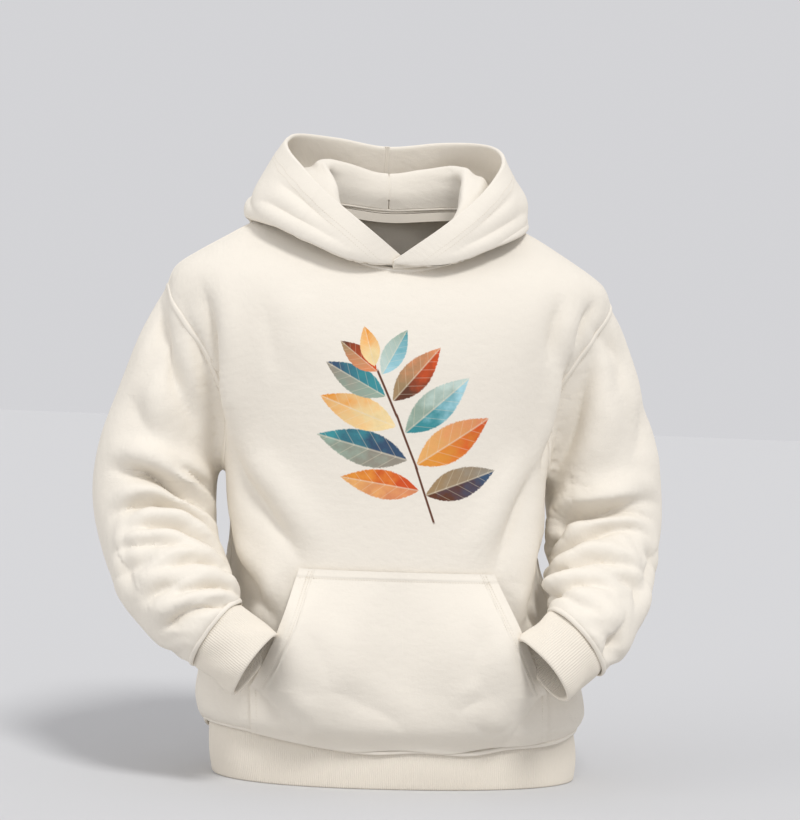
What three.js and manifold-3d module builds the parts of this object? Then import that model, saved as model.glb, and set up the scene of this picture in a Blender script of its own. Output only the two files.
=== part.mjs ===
// A pullover hooded sweatshirt in heavy fleece, in the shape it takes on a standing wearer with both
// hands in the front pocket, and the hood down.
//
// Frame: millimetres, +Z up, the wearer faces -Y, and the wearer's left is +X. The hem band stands on z = 0.
// Every part is a closed shell of the cloth's thickness, open where the garment is open.
import * as THREE from "three";
import { mergeVertices } from "three/addons/utils/BufferGeometryUtils.js";
import { ParametricGeometry } from "three/addons/geometries/ParametricGeometry.js";
import Module from "manifold-3d";

const wasm = await Module();
wasm.setup();

// ---------------------------------------------------------------- driving dimensions

const CLOTH = 3.5; // one layer of fleece
const DOUBLE = 5; // a folded rib, or the two layers of the hood
const SEAM_GAP = 0.3; // between two parts that are sewn together
const BAND_HEIGHT = 64; // the ribbed band round the hem
const LEAN = { from: 440, reach: 28, ease: 1.25 }; // below this height it swings to the wearer's left
const ROUNDNESS = 2.3; // exponent of the body's sections: 2 is an ellipse, more is squarer

// The body from the hem seam to the neck: height, half width, depth of the front and of the back.
const BODY = [
  [50, 234, 121, 115],
  [BAND_HEIGHT, 237, 125, 119],
  [92, 242, 134, 124],
  [122, 245, 141, 128],
  [160, 241, 141, 127],
  [210, 227, 137, 123],
  [275, 210, 133, 119],
  [340, 205, 131, 117],
  [410, 208, 133, 119],
  [470, 220, 136, 124],
  [530, 243, 134, 128],
  [580, 270, 124, 126],
  [610, 283, 112, 122],
  [635, 277, 98, 114],
  [655, 250, 82, 106],
  [675, 219, 64, 99],
  [695, 187, 47, 92],
  [710, 155, 36, 84],
  [722, 124, 26, 76],
  [732, 92, 16, 66],
];

// The rib band, run on past both its edges: height, half width, depth of the front and of the back.
const BAND = [
  [-20, 231, 120, 112],
  [30, 235, 122, 116],
  [BAND_HEIGHT + 20, 236, 123, 117],
];

// The neckline is an oval seen from above, cut through everything between two heights.
const NECK = { halfWidth: 118, halfDepth: 84, forward: 12, low: 560, high: 860 };

// A sleeve from inside the shoulder, over the elbow, to the cuff seam: x, y, z and radius.
const SLEEVE = [
  [176, 16, 606, 62],
  [218, 18, 580, 72],
  [243, 20, 530, 77],
  [270, 24, 455, 78],
  [290, 26, 392, 79],
  [295, 20, 345, 80],
  [289, -12, 300, 75],
  [273, -60, 258, 70],
  [252, -102, 226, 65],
  [232, -130, 206, 58],
  [212, -148, 190, 49.5],
];
const SLEEVE_DEPTH = 0.9; // a sleeve's depth as a share of its width
const CUFF = { end: [165, -177, 158], radius: 47, depth: 0.8 };
// How the arms differ: the elbow hangs lower, the forearm is tucked in and slimmer, the wrist moves inwards.
const ARMS = {
  left: { side: 1, drop: 5, tuck: 9, slim: 7, draw: -2 },
  right: { side: -1, drop: 0, tuck: 0, slim: 0, draw: -9 },
};

// The front pocket: half widths at its top and at the low end of its slanted mouths, and their heights. The
// hands stand it off the body by up to mouthRoom near its mouths, and by middleRoom between them.
const POCKET = { top: 267, low: 121, bottom: BAND_HEIGHT + 2, narrow: 120, wide: 184, layer: 4 };
const POCKET_BULGE = { mouthRoom: 25.5, middleRoom: 10, spread: 1.2 };

// The hood lies open behind the neck. At stations round the neckline, from the front to the middle of the
// back, the cloth rises from its seam to an inner roll, falls to an outer fold, and rises to the rim.
const HOOD = [
  { seam: [-8, -93, 640], roll: [-8, -97, 646], fold: [-8, -101, 652], rim: [-8, -104, 658] },
  { seam: [38, -85, 640], roll: [38, -84, 664], fold: [58, -108, 662], rim: [46, -104, 688] },
  { seam: [78, -66, 658], roll: [74, -66, 712], fold: [114, -92, 684], rim: [92, -82, 728] },
  { seam: [103, -38, 682], roll: [82, -36, 744], fold: [156, -62, 704], rim: [120, -50, 762] },
  { seam: [113, -8, 698], roll: [91, -4, 768], fold: [181, -12, 716], rim: [136, -10, 790] },
  { seam: [106, 26, 706], roll: [92, 28, 782], fold: [184, 46, 708], rim: [139, 34, 811] },
  { seam: [84, 50, 710], roll: [78, 58, 788], fold: [164, 112, 672], rim: [122, 80, 825] },
  { seam: [48, 66, 712], roll: [44, 80, 788], fold: [100, 156, 626], rim: [72, 118, 832] },
  { seam: [0, 70, 712], roll: [0, 86, 784], fold: [0, 172, 606], rim: [0, 134, 834] },
];
const HOOD_LAP = 5; // at the front the hood's left end lies this far forward, and its right end behind it
const LEFT_FOLD = 0.94; // the hood's left fold reaches less far out than the right one

// ---------------------------------------------------------------- helpers

const point = (x, y, z) => new THREE.Vector3(x, y, z);

// A smooth curve through rows of numbers, each row starting with the place it is for.
function smoothRows(rows) {
  const places = rows.map((row) => row[0]);
  const values = rows.flatMap((row) => row.slice(1));
  const curve = new THREE.CubicInterpolant(places, values, rows[0].length - 1);
  return (place) => [...curve.evaluate(place)];
}

// A closed mesh as a solid, without the faces that have shrunk to a line.
function solidOf(geometry) {
  const bare = geometry.clone().deleteAttribute("normal").deleteAttribute("uv");
  const merged = mergeVertices(bare, 1e-3);
  const corners = [...merged.index.array];
  const faces = [];
  for (let i = 0; i < corners.length; i += 3) {
    const [a, b, c] = corners.slice(i, i + 3);
    if (a !== b && b !== c && c !== a) faces.push(a, b, c);
  }
  const made = (order) =>
    new wasm.Manifold(
      new wasm.Mesh({
        numProp: 3,
        vertProperties: merged.attributes.position.array,
        triVerts: new Uint32Array(order),
      }),
    );
  const solid = made(faces);
  return solid.volume() > 0 ? solid : made(faces.reverse());
}

// The face of the cloth moved inwards by depth gives its back.
function movedIn(surface, depth) {
  const step = 1e-3;
  const before = point();
  const across = point();
  const along = point();
  return (u, v, target) => {
    surface(u + step, v, across);
    surface(u - step, v, before);
    across.sub(before);
    surface(u, Math.min(v + step, 1), along);
    surface(u, Math.max(v - step, 0), before);
    along.sub(before);
    surface(u, v, target);
    return target.addScaledVector(across.cross(along).normalize(), -depth);
  };
}

// A closed solid over rings: surface(u, v) goes round with u and from end to end with v.
function ringSolid(surface, around, along) {
  const capped = (u, v, target) => {
    const row = Math.round(v * (along + 2)) - 1;
    const place = THREE.MathUtils.clamp(row / along, 0, 1);
    if (row >= 0 && row <= along) return surface(u % 1, place, target);
    target.set(0, 0, 0);
    for (let i = 0; i < around; i++) target.add(surface(i / around, place, point()));
    return target.divideScalar(around);
  };
  return solidOf(new ParametricGeometry(capped, around, along + 2));
}

// A closed sheet between its face and its back, which give a point for each place i, j of a grid.
function sheetSolid(face, back, across, along) {
  const stride = along + 1;
  const layer = (across + 1) * stride;
  const points = [];
  for (const side of [face, back]) {
    for (let k = 0; k < layer; k++) points.push(...side(Math.floor(k / stride), k % stride).toArray());
  }
  const index = [];
  const quad = (a, b, c, d) => index.push(a, b, c, a, c, d);
  for (let i = 0; i < across; i++) {
    for (let j = 0; j < along; j++) {
      const a = i * stride + j;
      quad(a, a + stride, a + stride + 1, a + 1);
      quad(a + layer, a + layer + 1, a + layer + stride + 1, a + layer + stride);
    }
  }
  const rim = [];
  for (let i = 0; i < across; i++) rim.push(i * stride);
  for (let j = 0; j < along; j++) rim.push(across * stride + j);
  for (let i = across; i > 0; i--) rim.push(i * stride + along);
  for (let j = along; j > 0; j--) rim.push(j);
  rim.forEach((a, k) => {
    const b = rim[(k + 1) % rim.length];
    quad(a, a + layer, b + layer, b);
  });
  const geometry = new THREE.BufferGeometry();
  geometry.setAttribute("position", new THREE.Float32BufferAttribute(points, 3));
  geometry.setIndex(index);
  return solidOf(geometry);
}

// ---------------------------------------------------------------- the body and the sleeves as surfaces

const bodyRow = smoothRows(BODY);
const bandRow = smoothRows(BAND);
const BODY_RINGS = BODY.length - 1;
const BODY_AROUND = 28;

// A point round a rounded section, from the middle of the front round by the wearer's left.
function sectionPoint([halfWidth, front, back], height, angle, target) {
  const swing = (value) => Math.sign(value) * Math.abs(value) ** (2 / ROUNDNESS);
  const middle = (back - front) / 2;
  const halfDepth = (back + front) / 2;
  return target.set(halfWidth * swing(Math.sin(angle)), middle - halfDepth * swing(Math.cos(angle)), height);
}

function bodySurface(u, v, target) {
  const place = v * BODY_RINGS;
  const ring = Math.min(Math.floor(place), BODY_RINGS - 1);
  const height = THREE.MathUtils.lerp(BODY[ring][0], BODY[ring + 1][0], place - ring);
  return sectionPoint(bodyRow(height), height, u * 2 * Math.PI, target);
}

function bandSurface(u, v, target) {
  const height = THREE.MathUtils.lerp(BAND[0][0], BAND.at(-1)[0], v);
  return sectionPoint(bandRow(height), height, u * 2 * Math.PI, target);
}

// The y of the body's front at a place on it.
function bodyFront(x, height) {
  const [halfWidth, front, back] = bodyRow(height);
  const share = Math.min(Math.abs(x) / halfWidth, 1);
  return (back - front) / 2 - ((back + front) / 2) * (1 - share ** ROUNDNESS) ** (1 / ROUNDNESS);
}

const SLEEVE_RINGS = 14;
const SLEEVE_AROUND = 18;
const CUFF_AROUND = 20;
const ELBOW = 5; // the rows of SLEEVE at the elbow and in the middle of the forearm
const FOREARM = 7;
const PAST_SEAM = 14; // the sleeve's tube is made this much too long, and cut at the cuff seam
const DEPTHWAYS = point(0, 1, 0);

// A ring of a tube, square to its run and with its depth as a share of its width.
function tubePoint(centre, run, radius, depth, u, target) {
  const wide = DEPTHWAYS.clone().cross(run).normalize();
  const deep = run.clone().cross(wide);
  const angle = u * 2 * Math.PI;
  target.copy(centre).addScaledVector(wide, radius * Math.cos(angle));
  return target.addScaledVector(deep, radius * depth * Math.sin(angle));
}

// The cuff of one side: where it starts, at the sleeve's seam, and the way it runs.
function cuffOf({ side, draw }) {
  const [start, end] = [SLEEVE.at(-1), CUFF.end].map(([x, y, z]) => point(side * (x - draw), y, z));
  return { start, end, run: end.clone().sub(start).normalize() };
}

// The face of a sleeve's tube, and the elbow's place and run on it.
function sleeveOf(arm) {
  const cuff = cuffOf(arm);
  const near = (i, row) => Math.exp(-(((i - row) / 2) ** 2));
  const places = SLEEVE.map(([x, y, z], i) => {
    const draw = arm.draw * (i / (SLEEVE.length - 1)) ** 3 + arm.tuck * near(i, FOREARM);
    return point(arm.side * (x - draw), y, z - arm.drop * near(i, ELBOW));
  });
  places.push(cuff.start.clone().addScaledVector(cuff.run, PAST_SEAM));
  const path = new THREE.CatmullRomCurve3(places);
  const elbow = { place: path.getPoint(ELBOW / SLEEVE.length), run: path.getTangent(ELBOW / SLEEVE.length) };
  const radii = SLEEVE.map((row, i) => row[3] - arm.slim * near(i, FOREARM));
  radii.push(radii.at(-1));
  const radius = smoothRows(radii.map((r, i) => [i / SLEEVE.length, r]));
  const surface = (u, v, target) => {
    const centre = path.getPoint(v);
    return tubePoint(centre, path.getTangent(v), radius(v)[0], SLEEVE_DEPTH, u, target);
  };
  return { surface, elbow };
}

// A cuff's tube, stretched past both its ends by spare.
function cuffSurface(cuff, radius, spare) {
  const from = cuff.start.clone().addScaledVector(cuff.run, -spare);
  const to = cuff.end.clone().addScaledVector(cuff.run, spare);
  return (u, v, target) => tubePoint(from.clone().lerp(to, v), cuff.run, radius, CUFF.depth, u, target);
}

// ---------------------------------------------------------------- the pocket and the hood as sheets

const POCKET_ACROSS = 20;
const POCKET_ROWS = [0, 0.5, 1, 1.4, 1.8, 2.2, 2.6, 3]; // 0 to 1 is below the mouths, and 1 to 3 beside them
const POCKET_OFF = 1; // the panel's back stands this clear of the body all over

function pocketPoint(i, j, out) {
  const part = POCKET_ROWS[j];
  const rise = Math.max(part - 1, 0) / 2;
  const height = part < 1
    ? THREE.MathUtils.lerp(POCKET.bottom, POCKET.low, part)
    : THREE.MathUtils.lerp(POCKET.low, POCKET.top, rise);
  const share = (2 * i) / POCKET_ACROSS - 1;
  const x = share * THREE.MathUtils.lerp(POCKET.wide, POCKET.narrow, rise);
  const beside = Math.sin((Math.PI * Math.abs(share)) / POCKET_BULGE.spread) * Math.sin(Math.PI * rise);
  const between = (1 - share ** 2) * Math.sin((Math.PI * part) / POCKET_ROWS.at(-1));
  const room = POCKET_BULGE.mouthRoom * beside + POCKET_BULGE.middleRoom * between;
  return point(x, bodyFront(x, height) - POCKET_OFF - room - out, height);
}

const HOOD_ACROSS = 16;
const HOOD_ALONG = 10;

// One side of the hood, from the front to just past the middle of the back.
function hoodSheet(side) {
  const lines = ["seam", "roll", "fold", "rim"].map((line) => {
    const wide = line === "fold" && side > 0 ? LEFT_FOLD : 1;
    const half = HOOD.map((station) => station[line]).map(([x, y, z]) => point(side * wide * x, y, z));
    half[0].y -= side * HOOD_LAP;
    const past = half.at(-2).clone().setX(-half.at(-2).x);
    return new THREE.CatmullRomCurve3([...half, past]);
  });
  const middle = (s, t, target) => {
    const place = THREE.MathUtils.clamp(s, 0, 1);
    const section = new THREE.CatmullRomCurve3(lines.map((line) => line.getPoint(place)));
    return section.getPoint(t, target);
  };
  const layer = (depth) => {
    const moved = movedIn(middle, side * depth);
    return (i, j) => moved(i / HOOD_ACROSS, j / HOOD_ALONG, point());
  };
  return sheetSolid(layer(DOUBLE / 2), layer(-DOUBLE / 2), HOOD_ACROSS, HOOD_ALONG);
}

// ---------------------------------------------------------------- build

const mainBody = (solid) => solid.decompose().sort((a, b) => b.volume() - a.volume())[0];
const group = new THREE.Group();
const FLEECE = { color: 0xeee7dc, roughness: 0.95, metalness: 0 };
const RIB = { color: 0xebe3d7, roughness: 0.9, metalness: 0 };

// Below the chest the whole garment swings sideways, as the wearer's weight is on one leg.
function lean(geometry) {
  const places = geometry.attributes.position;
  for (let i = 0; i < places.count; i++) {
    const below = Math.max(LEAN.from - places.getZ(i), 0) / LEAN.from;
    places.setX(i, places.getX(i) + LEAN.reach * below ** LEAN.ease);
  }
  return geometry;
}

function addPart(name, solid, finish) {
  const mesh = solid.getMesh();
  const geometry = new THREE.BufferGeometry();
  geometry.setAttribute("position", new THREE.BufferAttribute(mesh.vertProperties, 3));
  geometry.setIndex(new THREE.BufferAttribute(mesh.triVerts, 1));
  const part = new THREE.Mesh(lean(geometry), new THREE.MeshStandardMaterial(finish));
  part.name = name;
  group.add(part);
}

// The body is a shell, open at the neck, the hem and the armholes, and cut in two along its side seams. A
// sleeve is a tube that starts at the body's face, and it is parted at the elbow into two straighter
// lengths.
const bodyWall = (depth) => ringSolid(movedIn(bodySurface, depth), BODY_AROUND, BODY_RINGS);
const grownBody = bodyWall(-2 * SEAM_GAP);
const neckOval = new THREE.CylinderGeometry(1, 1, NECK.high - NECK.low, BODY_AROUND).rotateX(Math.PI / 2);
neckOval.scale(NECK.halfWidth, NECK.halfDepth, 1).translate(0, -NECK.forward, (NECK.high + NECK.low) / 2);
let bodyCloth = bodyWall(0).subtract(bodyWall(CLOTH)).subtract(solidOf(neckOval));
bodyCloth = bodyCloth.trimByPlane([0, 0, 1], BAND_HEIGHT + SEAM_GAP);
for (const [name, arm] of Object.entries(ARMS)) {
  const { surface, elbow } = sleeveOf(arm);
  const hollow = ringSolid(movedIn(surface, CLOTH), SLEEVE_AROUND, SLEEVE_RINGS);
  const tube = ringSolid(surface, SLEEVE_AROUND, SLEEVE_RINGS).subtract(hollow).subtract(grownBody);
  const cuff = cuffOf(arm);
  const along = cuff.run.dot(cuff.start);
  const sleeve = mainBody(tube.trimByPlane(cuff.run.clone().negate().toArray(), SEAM_GAP - along));
  const atElbow = elbow.run.dot(elbow.place);
  const towardsCuff = elbow.run.toArray();
  const towardsShoulder = elbow.run.clone().negate().toArray();
  addPart(`sleeve_${name}_upper`, sleeve.trimByPlane(towardsShoulder, SEAM_GAP / 2 - atElbow), FLEECE);
  addPart(`sleeve_${name}_lower`, sleeve.trimByPlane(towardsCuff, SEAM_GAP / 2 + atElbow), FLEECE);
  bodyCloth = bodyCloth.subtract(hollow);

  const cuffWall = ringSolid(cuffSurface(cuff, CUFF.radius, 0), CUFF_AROUND, 1);
  const cuffHollow = ringSolid(cuffSurface(cuff, CUFF.radius - DOUBLE, PAST_SEAM), CUFF_AROUND, 1);
  addPart(`cuff_${name}`, cuffWall.subtract(cuffHollow), RIB);
}
addPart("body_front", bodyCloth.trimByPlane([0, -1, 0], SEAM_GAP / 2), FLEECE);
addPart("body_back", bodyCloth.trimByPlane([0, 1, 0], SEAM_GAP / 2), FLEECE);

const bandSolid = (depth) => ringSolid(movedIn(bandSurface, depth), BODY_AROUND, 2);
const bandWall = bandSolid(0).subtract(bandSolid(DOUBLE));
addPart("hem_band", bandWall.trimByPlane([0, 0, 1], 0).trimByPlane([0, 0, -1], -BAND_HEIGHT), RIB);

const pocketSide = (out) => (i, j) => pocketPoint(i, j, out);
const pocket = sheetSolid(pocketSide(POCKET.layer), pocketSide(0), POCKET_ACROSS, POCKET_ROWS.length - 1);
addPart("pocket", pocket, FLEECE);

for (const [name, { side }] of Object.entries(ARMS)) {
  const hood = hoodSheet(side).subtract(grownBody).trimByPlane([side, 0, 0], SEAM_GAP / 2);
  addPart(`hood_${name}`, hood, FLEECE);
}

// The origin is the middle of the garment's box, on the floor.
const box = new THREE.Box3().setFromObject(group);
const centre = box.getCenter(point());
for (const part of group.children) part.geometry.translate(-centre.x, -centre.y, -box.min.z);

export default group;
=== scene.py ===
import math

import bmesh
import bpy
import numpy as np
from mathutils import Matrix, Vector, noise
from mathutils.bvhtree import BVHTree


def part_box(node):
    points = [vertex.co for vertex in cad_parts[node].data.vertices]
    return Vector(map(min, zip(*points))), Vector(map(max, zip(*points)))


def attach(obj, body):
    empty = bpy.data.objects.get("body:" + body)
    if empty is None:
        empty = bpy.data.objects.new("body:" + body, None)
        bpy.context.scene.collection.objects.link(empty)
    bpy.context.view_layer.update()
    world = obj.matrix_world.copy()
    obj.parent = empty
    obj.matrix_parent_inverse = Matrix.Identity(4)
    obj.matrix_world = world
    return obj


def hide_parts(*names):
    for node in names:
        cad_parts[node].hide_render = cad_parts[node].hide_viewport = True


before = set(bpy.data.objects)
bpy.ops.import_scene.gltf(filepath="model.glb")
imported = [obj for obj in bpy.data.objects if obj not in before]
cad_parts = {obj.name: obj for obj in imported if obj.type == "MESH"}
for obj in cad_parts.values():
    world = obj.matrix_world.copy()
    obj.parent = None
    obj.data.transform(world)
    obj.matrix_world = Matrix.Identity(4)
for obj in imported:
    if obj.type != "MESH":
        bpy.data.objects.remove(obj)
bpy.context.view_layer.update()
bpy.ops.object.select_all(action="DESELECT")


# ---------------------------------------------------------------- the skin of body and sleeves
# The body and both sleeves are cut from heavy loopback fleece, 3 mm thick and brushed inside. Here the
# cloth is still one skin over the wearer's shape, so that its folds run on through the seams.

FRONT_DEPTH = 0.141  # the body's greatest depth in front of the shoulders' middle
SWING_FROM, SWING_REACH, SWING_EASE = 0.440, 0.028, 1.25  # below this height the hem swings to the left
ROUNDNESS = 2.3  # of the body's section, where 2 is an oval and more is squarer
UNDERARM = 0.385  # below this height the sleeves hang free of the body

# height, half width, depth of the front and of the back; the lowest rows tuck in under the blousing
BODY = [
    (0.034, 0.229, 0.116, 0.110),
    (0.050, 0.235, 0.123, 0.116),
    (0.064, 0.243, 0.132, 0.124),
    (0.080, 0.249, 0.139, 0.129),
    (0.100, 0.249, 0.142, 0.130),
    (0.122, 0.246, 0.141, 0.128),
    (0.160, 0.239, 0.140, 0.127),
    (0.210, 0.226, 0.137, 0.123),
    (0.275, 0.210, 0.133, 0.119),
    (0.340, 0.205, 0.131, 0.117),
    (0.410, 0.208, 0.133, 0.119),
    (0.470, 0.220, 0.136, 0.124),
    (0.530, 0.243, 0.134, 0.128),
    (0.580, 0.270, 0.124, 0.126),
    (0.610, 0.283, 0.112, 0.122),
    (0.635, 0.277, 0.098, 0.114),
    (0.655, 0.250, 0.082, 0.106),
    (0.675, 0.219, 0.064, 0.099),
    (0.695, 0.187, 0.047, 0.092),
    (0.710, 0.155, 0.036, 0.084),
    (0.722, 0.124, 0.026, 0.076),
    (0.732, 0.092, 0.016, 0.066),
]
# over the shoulder, the elbow and the forearm to the cuff: x, y, z, radius
SLEEVE = [
    (0.176, 0.016, 0.606, 0.062),
    (0.218, 0.018, 0.580, 0.072),
    (0.243, 0.020, 0.530, 0.077),
    (0.270, 0.024, 0.455, 0.078),
    (0.290, 0.026, 0.392, 0.079),
    (0.295, 0.020, 0.345, 0.080),
    (0.289, -0.012, 0.300, 0.076),
    (0.273, -0.060, 0.258, 0.072),
    (0.252, -0.102, 0.226, 0.067),
    (0.234, -0.127, 0.206, 0.061),
    (0.215, -0.142, 0.190, 0.050),
]
SLEEVE_DEPTH = 0.9
ELBOW, FOREARM = 5, 7  # rows of SLEEVE
CUFF_END = (0.168, -0.161, 0.155)
# how the arms differ: the elbow's drop, the forearm's tuck inwards and slimming, the cuff's draw inwards
ARMS = {
    "left": dict(side=1, drop=0.005, tuck=0.009, slim=0.007, draw=-0.002),
    "right": dict(side=-1, drop=0, tuck=0, slim=0, draw=-0.009),
}
SKIN_PAST_CUFF = 0.02  # how far a sleeve's skin runs on beyond its cuff's seam
ARM_CLEAR = 0.018  # the forearm presses the body's side in by this much more than touching
SKIN_GRAIN = 0.0068

# The pattern's own middle lies midway between the shoulders. This is its place in the frame.
body_low, body_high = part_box("body_front")
PLACE = np.array(((body_low.x + body_high.x) / 2, body_low.y + FRONT_DEPTH, 0))


def smooth_rows(rows, places):
    """Values at places on the smooth curve through rows that each start with their own place."""
    rows = np.asarray(rows, float)
    at, values = rows[:, 0], rows[:, 1:]
    slopes = np.empty_like(values)
    slopes[1:-1] = (values[2:] - values[:-2]) / (at[2:] - at[:-2])[:, None]
    slopes[0] = (values[1] - values[0]) / (at[1] - at[0])
    slopes[-1] = (values[-1] - values[-2]) / (at[-1] - at[-2])
    places = np.asarray(places, float)
    i = np.clip(np.searchsorted(at, places) - 1, 0, len(at) - 2)
    width = (at[i + 1] - at[i])[..., None]
    t = np.clip((places - at[i])[..., None] / width, 0, 1)
    t2, t3 = t * t, t * t * t
    return (
        (2 * t3 - 3 * t2 + 1) * values[i]
        + (t3 - 2 * t2 + t) * width * slopes[i]
        + (3 * t2 - 2 * t3) * values[i + 1]
        + (t3 - t2) * width * slopes[i + 1]
    )


def unit(vectors):
    vectors = np.asarray(vectors, float)
    return vectors / np.maximum(np.linalg.norm(vectors, axis=-1, keepdims=True), 1e-12)


def ramp(value, start, end):
    """0 before start, 1 after end, and smooth between."""
    t = np.clip((np.asarray(value, float) - start) / (end - start), 0, 1)
    return t * t * (3 - 2 * t)


def swing_at(height):
    """How far the cloth at a height hangs to the wearer's left of the shoulders' middle."""
    below = np.clip(SWING_FROM - height, 0, None) / SWING_FROM
    return SWING_REACH * below**SWING_EASE


def set_in_frame(points):
    """Pattern points in the frame, with the swing of the hem to one side."""
    moved = np.asarray(points, float) + PLACE
    moved[..., 0] += swing_at(moved[..., 2])
    return moved


def in_pattern(points):
    """Points of the frame in the pattern, with the swing taken out."""
    moved = np.asarray(points, float) - PLACE
    moved[..., 0] -= swing_at(moved[..., 2])
    return moved


def section(rows, angle, height):
    """Points round the body, from the middle of the front round by the wearer's left."""
    half, front, back = np.moveaxis(smooth_rows(rows, height), -1, 0)
    sine, cosine = np.sin(angle), np.cos(angle)
    x = half * np.sign(sine) * np.abs(sine) ** (2 / ROUNDNESS)
    forward = np.sign(cosine) * np.abs(cosine) ** (2 / ROUNDNESS)
    return np.stack([x, (back - front) / 2 - (back + front) / 2 * forward, height], -1)


def cuff_line(side, draw, **_):
    """Where a cuff starts, at its seam, and where it ends."""
    return [np.array((side * (x - draw), y, z)) for x, y, z in (SLEEVE[-1][:3], CUFF_END)]


def arm_line(arm, steps):
    """A sleeve's middle line and radius, from inside the shoulder to just past the cuff's seam."""
    rows = []
    for i, (x, y, z, radius) in enumerate(SLEEVE):
        at_elbow = math.exp(-(((i - ELBOW) / 2) ** 2))
        at_forearm = math.exp(-(((i - FOREARM) / 2) ** 2))
        x -= arm["draw"] * (i / (len(SLEEVE) - 1)) ** 3 + arm["tuck"] * at_forearm
        z -= arm["drop"] * at_elbow
        radius -= arm["slim"] * at_forearm
        rows.append((i, arm["side"] * x, y, z, radius))
    start, end = cuff_line(**arm)
    rows.append((len(SLEEVE), *(start + SKIN_PAST_CUFF * unit(end - start)), radius))
    line = smooth_rows(rows, np.linspace(0, len(SLEEVE), steps))
    return line[:, :3], line[:, 3]


def across_arm(run):
    """The two ways square to an arm's run: sideways, and from front to back."""
    wide = unit(np.cross((0, 1, 0), run))
    return wide, np.cross(run, wide)


def rings_round(centre, radius, around, depth):
    """Rings of points round a line, square to its run."""
    wide, deep = across_arm(unit(np.gradient(centre, axis=0)))
    angle = np.linspace(0, 2 * math.pi, around, endpoint=False)
    ring = wide[:, None] * np.cos(angle)[None, :, None]
    ring = ring + deep[:, None] * depth * np.sin(angle)[None, :, None]
    return centre[:, None] + ring * np.reshape(radius, (-1, 1, 1))


def mesh_object(name, points, faces):
    mesh = bpy.data.meshes.new(name)
    faces = faces if isinstance(faces, list) else faces.tolist()
    mesh.from_pydata(np.reshape(points, (-1, 3)).tolist(), [], faces)
    mesh.update()
    piece = bpy.data.objects.new(name, mesh)
    bpy.context.scene.collection.objects.link(piece)
    return piece


def turn_outwards(piece):
    shape = bmesh.new()
    shape.from_mesh(piece.data)
    bmesh.ops.recalc_face_normals(shape, faces=shape.faces)
    shape.to_mesh(piece.data)
    shape.free()


def ring_faces(along, around, closed=True):
    """The four-cornered faces between rings of points."""
    j, i = np.meshgrid(np.arange(along - 1), np.arange(around if closed else around - 1), indexing="ij")
    k = (i + 1) % around
    low, high = j * around, (j + 1) * around
    return np.stack([low + i, low + k, high + k, high + i], -1).reshape(-1, 4)


def capped_tube(name, rings):
    """A closed tube over rings of points, with a flat many-cornered end at each."""
    along, around = rings.shape[:2]
    faces = ring_faces(along, around).tolist()
    faces.append(list(range(around))[::-1])
    faces.append(list(range((along - 1) * around, along * around)))
    piece = mesh_object(name, rings, faces)
    turn_outwards(piece)
    return piece


def only(piece):
    """Makes this piece the one that operators act on."""
    bpy.ops.object.select_all(action="DESELECT")
    piece.select_set(True)
    bpy.context.view_layer.objects.active = piece


def finish_with(piece, kind, **settings):
    """Adds a modifier to the piece and applies it."""
    modifier = piece.modifiers.new(kind, kind)
    for name, value in settings.items():
        setattr(modifier, name, value)
    only(piece)
    bpy.ops.object.modifier_apply(modifier=modifier.name)


def points_of(piece):
    found = np.empty(len(piece.data.vertices) * 3)
    piece.data.vertices.foreach_get("co", found)
    return found.reshape(-1, 3)


def normals_of(piece):
    return np.array([normal.vector[:] for normal in piece.data.vertex_normals])


def move_to(piece, points):
    piece.data.vertices.foreach_set("co", np.asarray(points, np.float32).ravel())
    piece.data.update()


def nearest_on(line, points):
    """For each point, the number of the nearest point of a line, and how far it is."""
    line = np.asarray(line)
    place, far = np.empty(len(points), int), np.empty(len(points))
    for start in range(0, len(points), 20000):
        some = slice(start, start + 20000)
        off = (line**2).sum(axis=1) - 2 * points[some] @ line.T
        place[some] = off.argmin(axis=1)
        far[some] = np.linalg.norm(points[some] - line[place[some]], axis=1)
    return place, far


arm_lines = {name: arm_line(arm, 160) for name, arm in ARMS.items()}


def build_skin():
    """One skin over the body and both sleeves. The arms press the body's sides in."""
    angle = np.linspace(0, 2 * math.pi, 120, endpoint=False)
    heights = np.concatenate([np.linspace(BODY[0][0], 0.60, 70), np.linspace(0.605, BODY[-1][0], 24)])
    rings = section(BODY, *np.meshgrid(angle, heights))
    flat = rings.reshape(-1, 3)
    for middle, radius in arm_lines.values():
        place, far = nearest_on(middle, flat)
        pressed = (flat[:, 2] < UNDERARM) & (far < radius[place] + ARM_CLEAR)
        away = unit(flat - middle[place])
        clear = middle[place] + away * (radius[place] + ARM_CLEAR)[:, None]
        flat = np.where(pressed[:, None], clear, flat)
    skin = capped_tube("skin", set_in_frame(flat.reshape(rings.shape)))
    tubes = []
    for middle, radius in arm_lines.values():
        tubes.append(capped_tube("tube", set_in_frame(rings_round(middle, radius, 48, SLEEVE_DEPTH))))
    only(skin)
    for tube in tubes:
        tube.select_set(True)
    bpy.ops.object.join()
    finish_with(skin, "REMESH", mode="VOXEL", voxel_size=SKIN_GRAIN, use_smooth_shade=True)
    finish_with(skin, "SMOOTH", factor=0.5, iterations=6)
    return skin


skin = build_skin()


# ---------------------------------------------------------------- how the cloth hangs
# The cloth is cut longer than the arm and the body that it covers, so it gathers at the elbow and over the
# cuff, and blouses over the hem band. It is let hang on the wearer's shape as simulated cloth.

BAND_HEIGHT = 0.064  # the cloth is held below this
# the neck's seam is an oval, seen from above, a little before the shoulders' middle
NECK_HALF_WIDTH, NECK_HALF_DEPTH, NECK_FORWARD = 0.118, 0.084, 0.012
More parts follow.
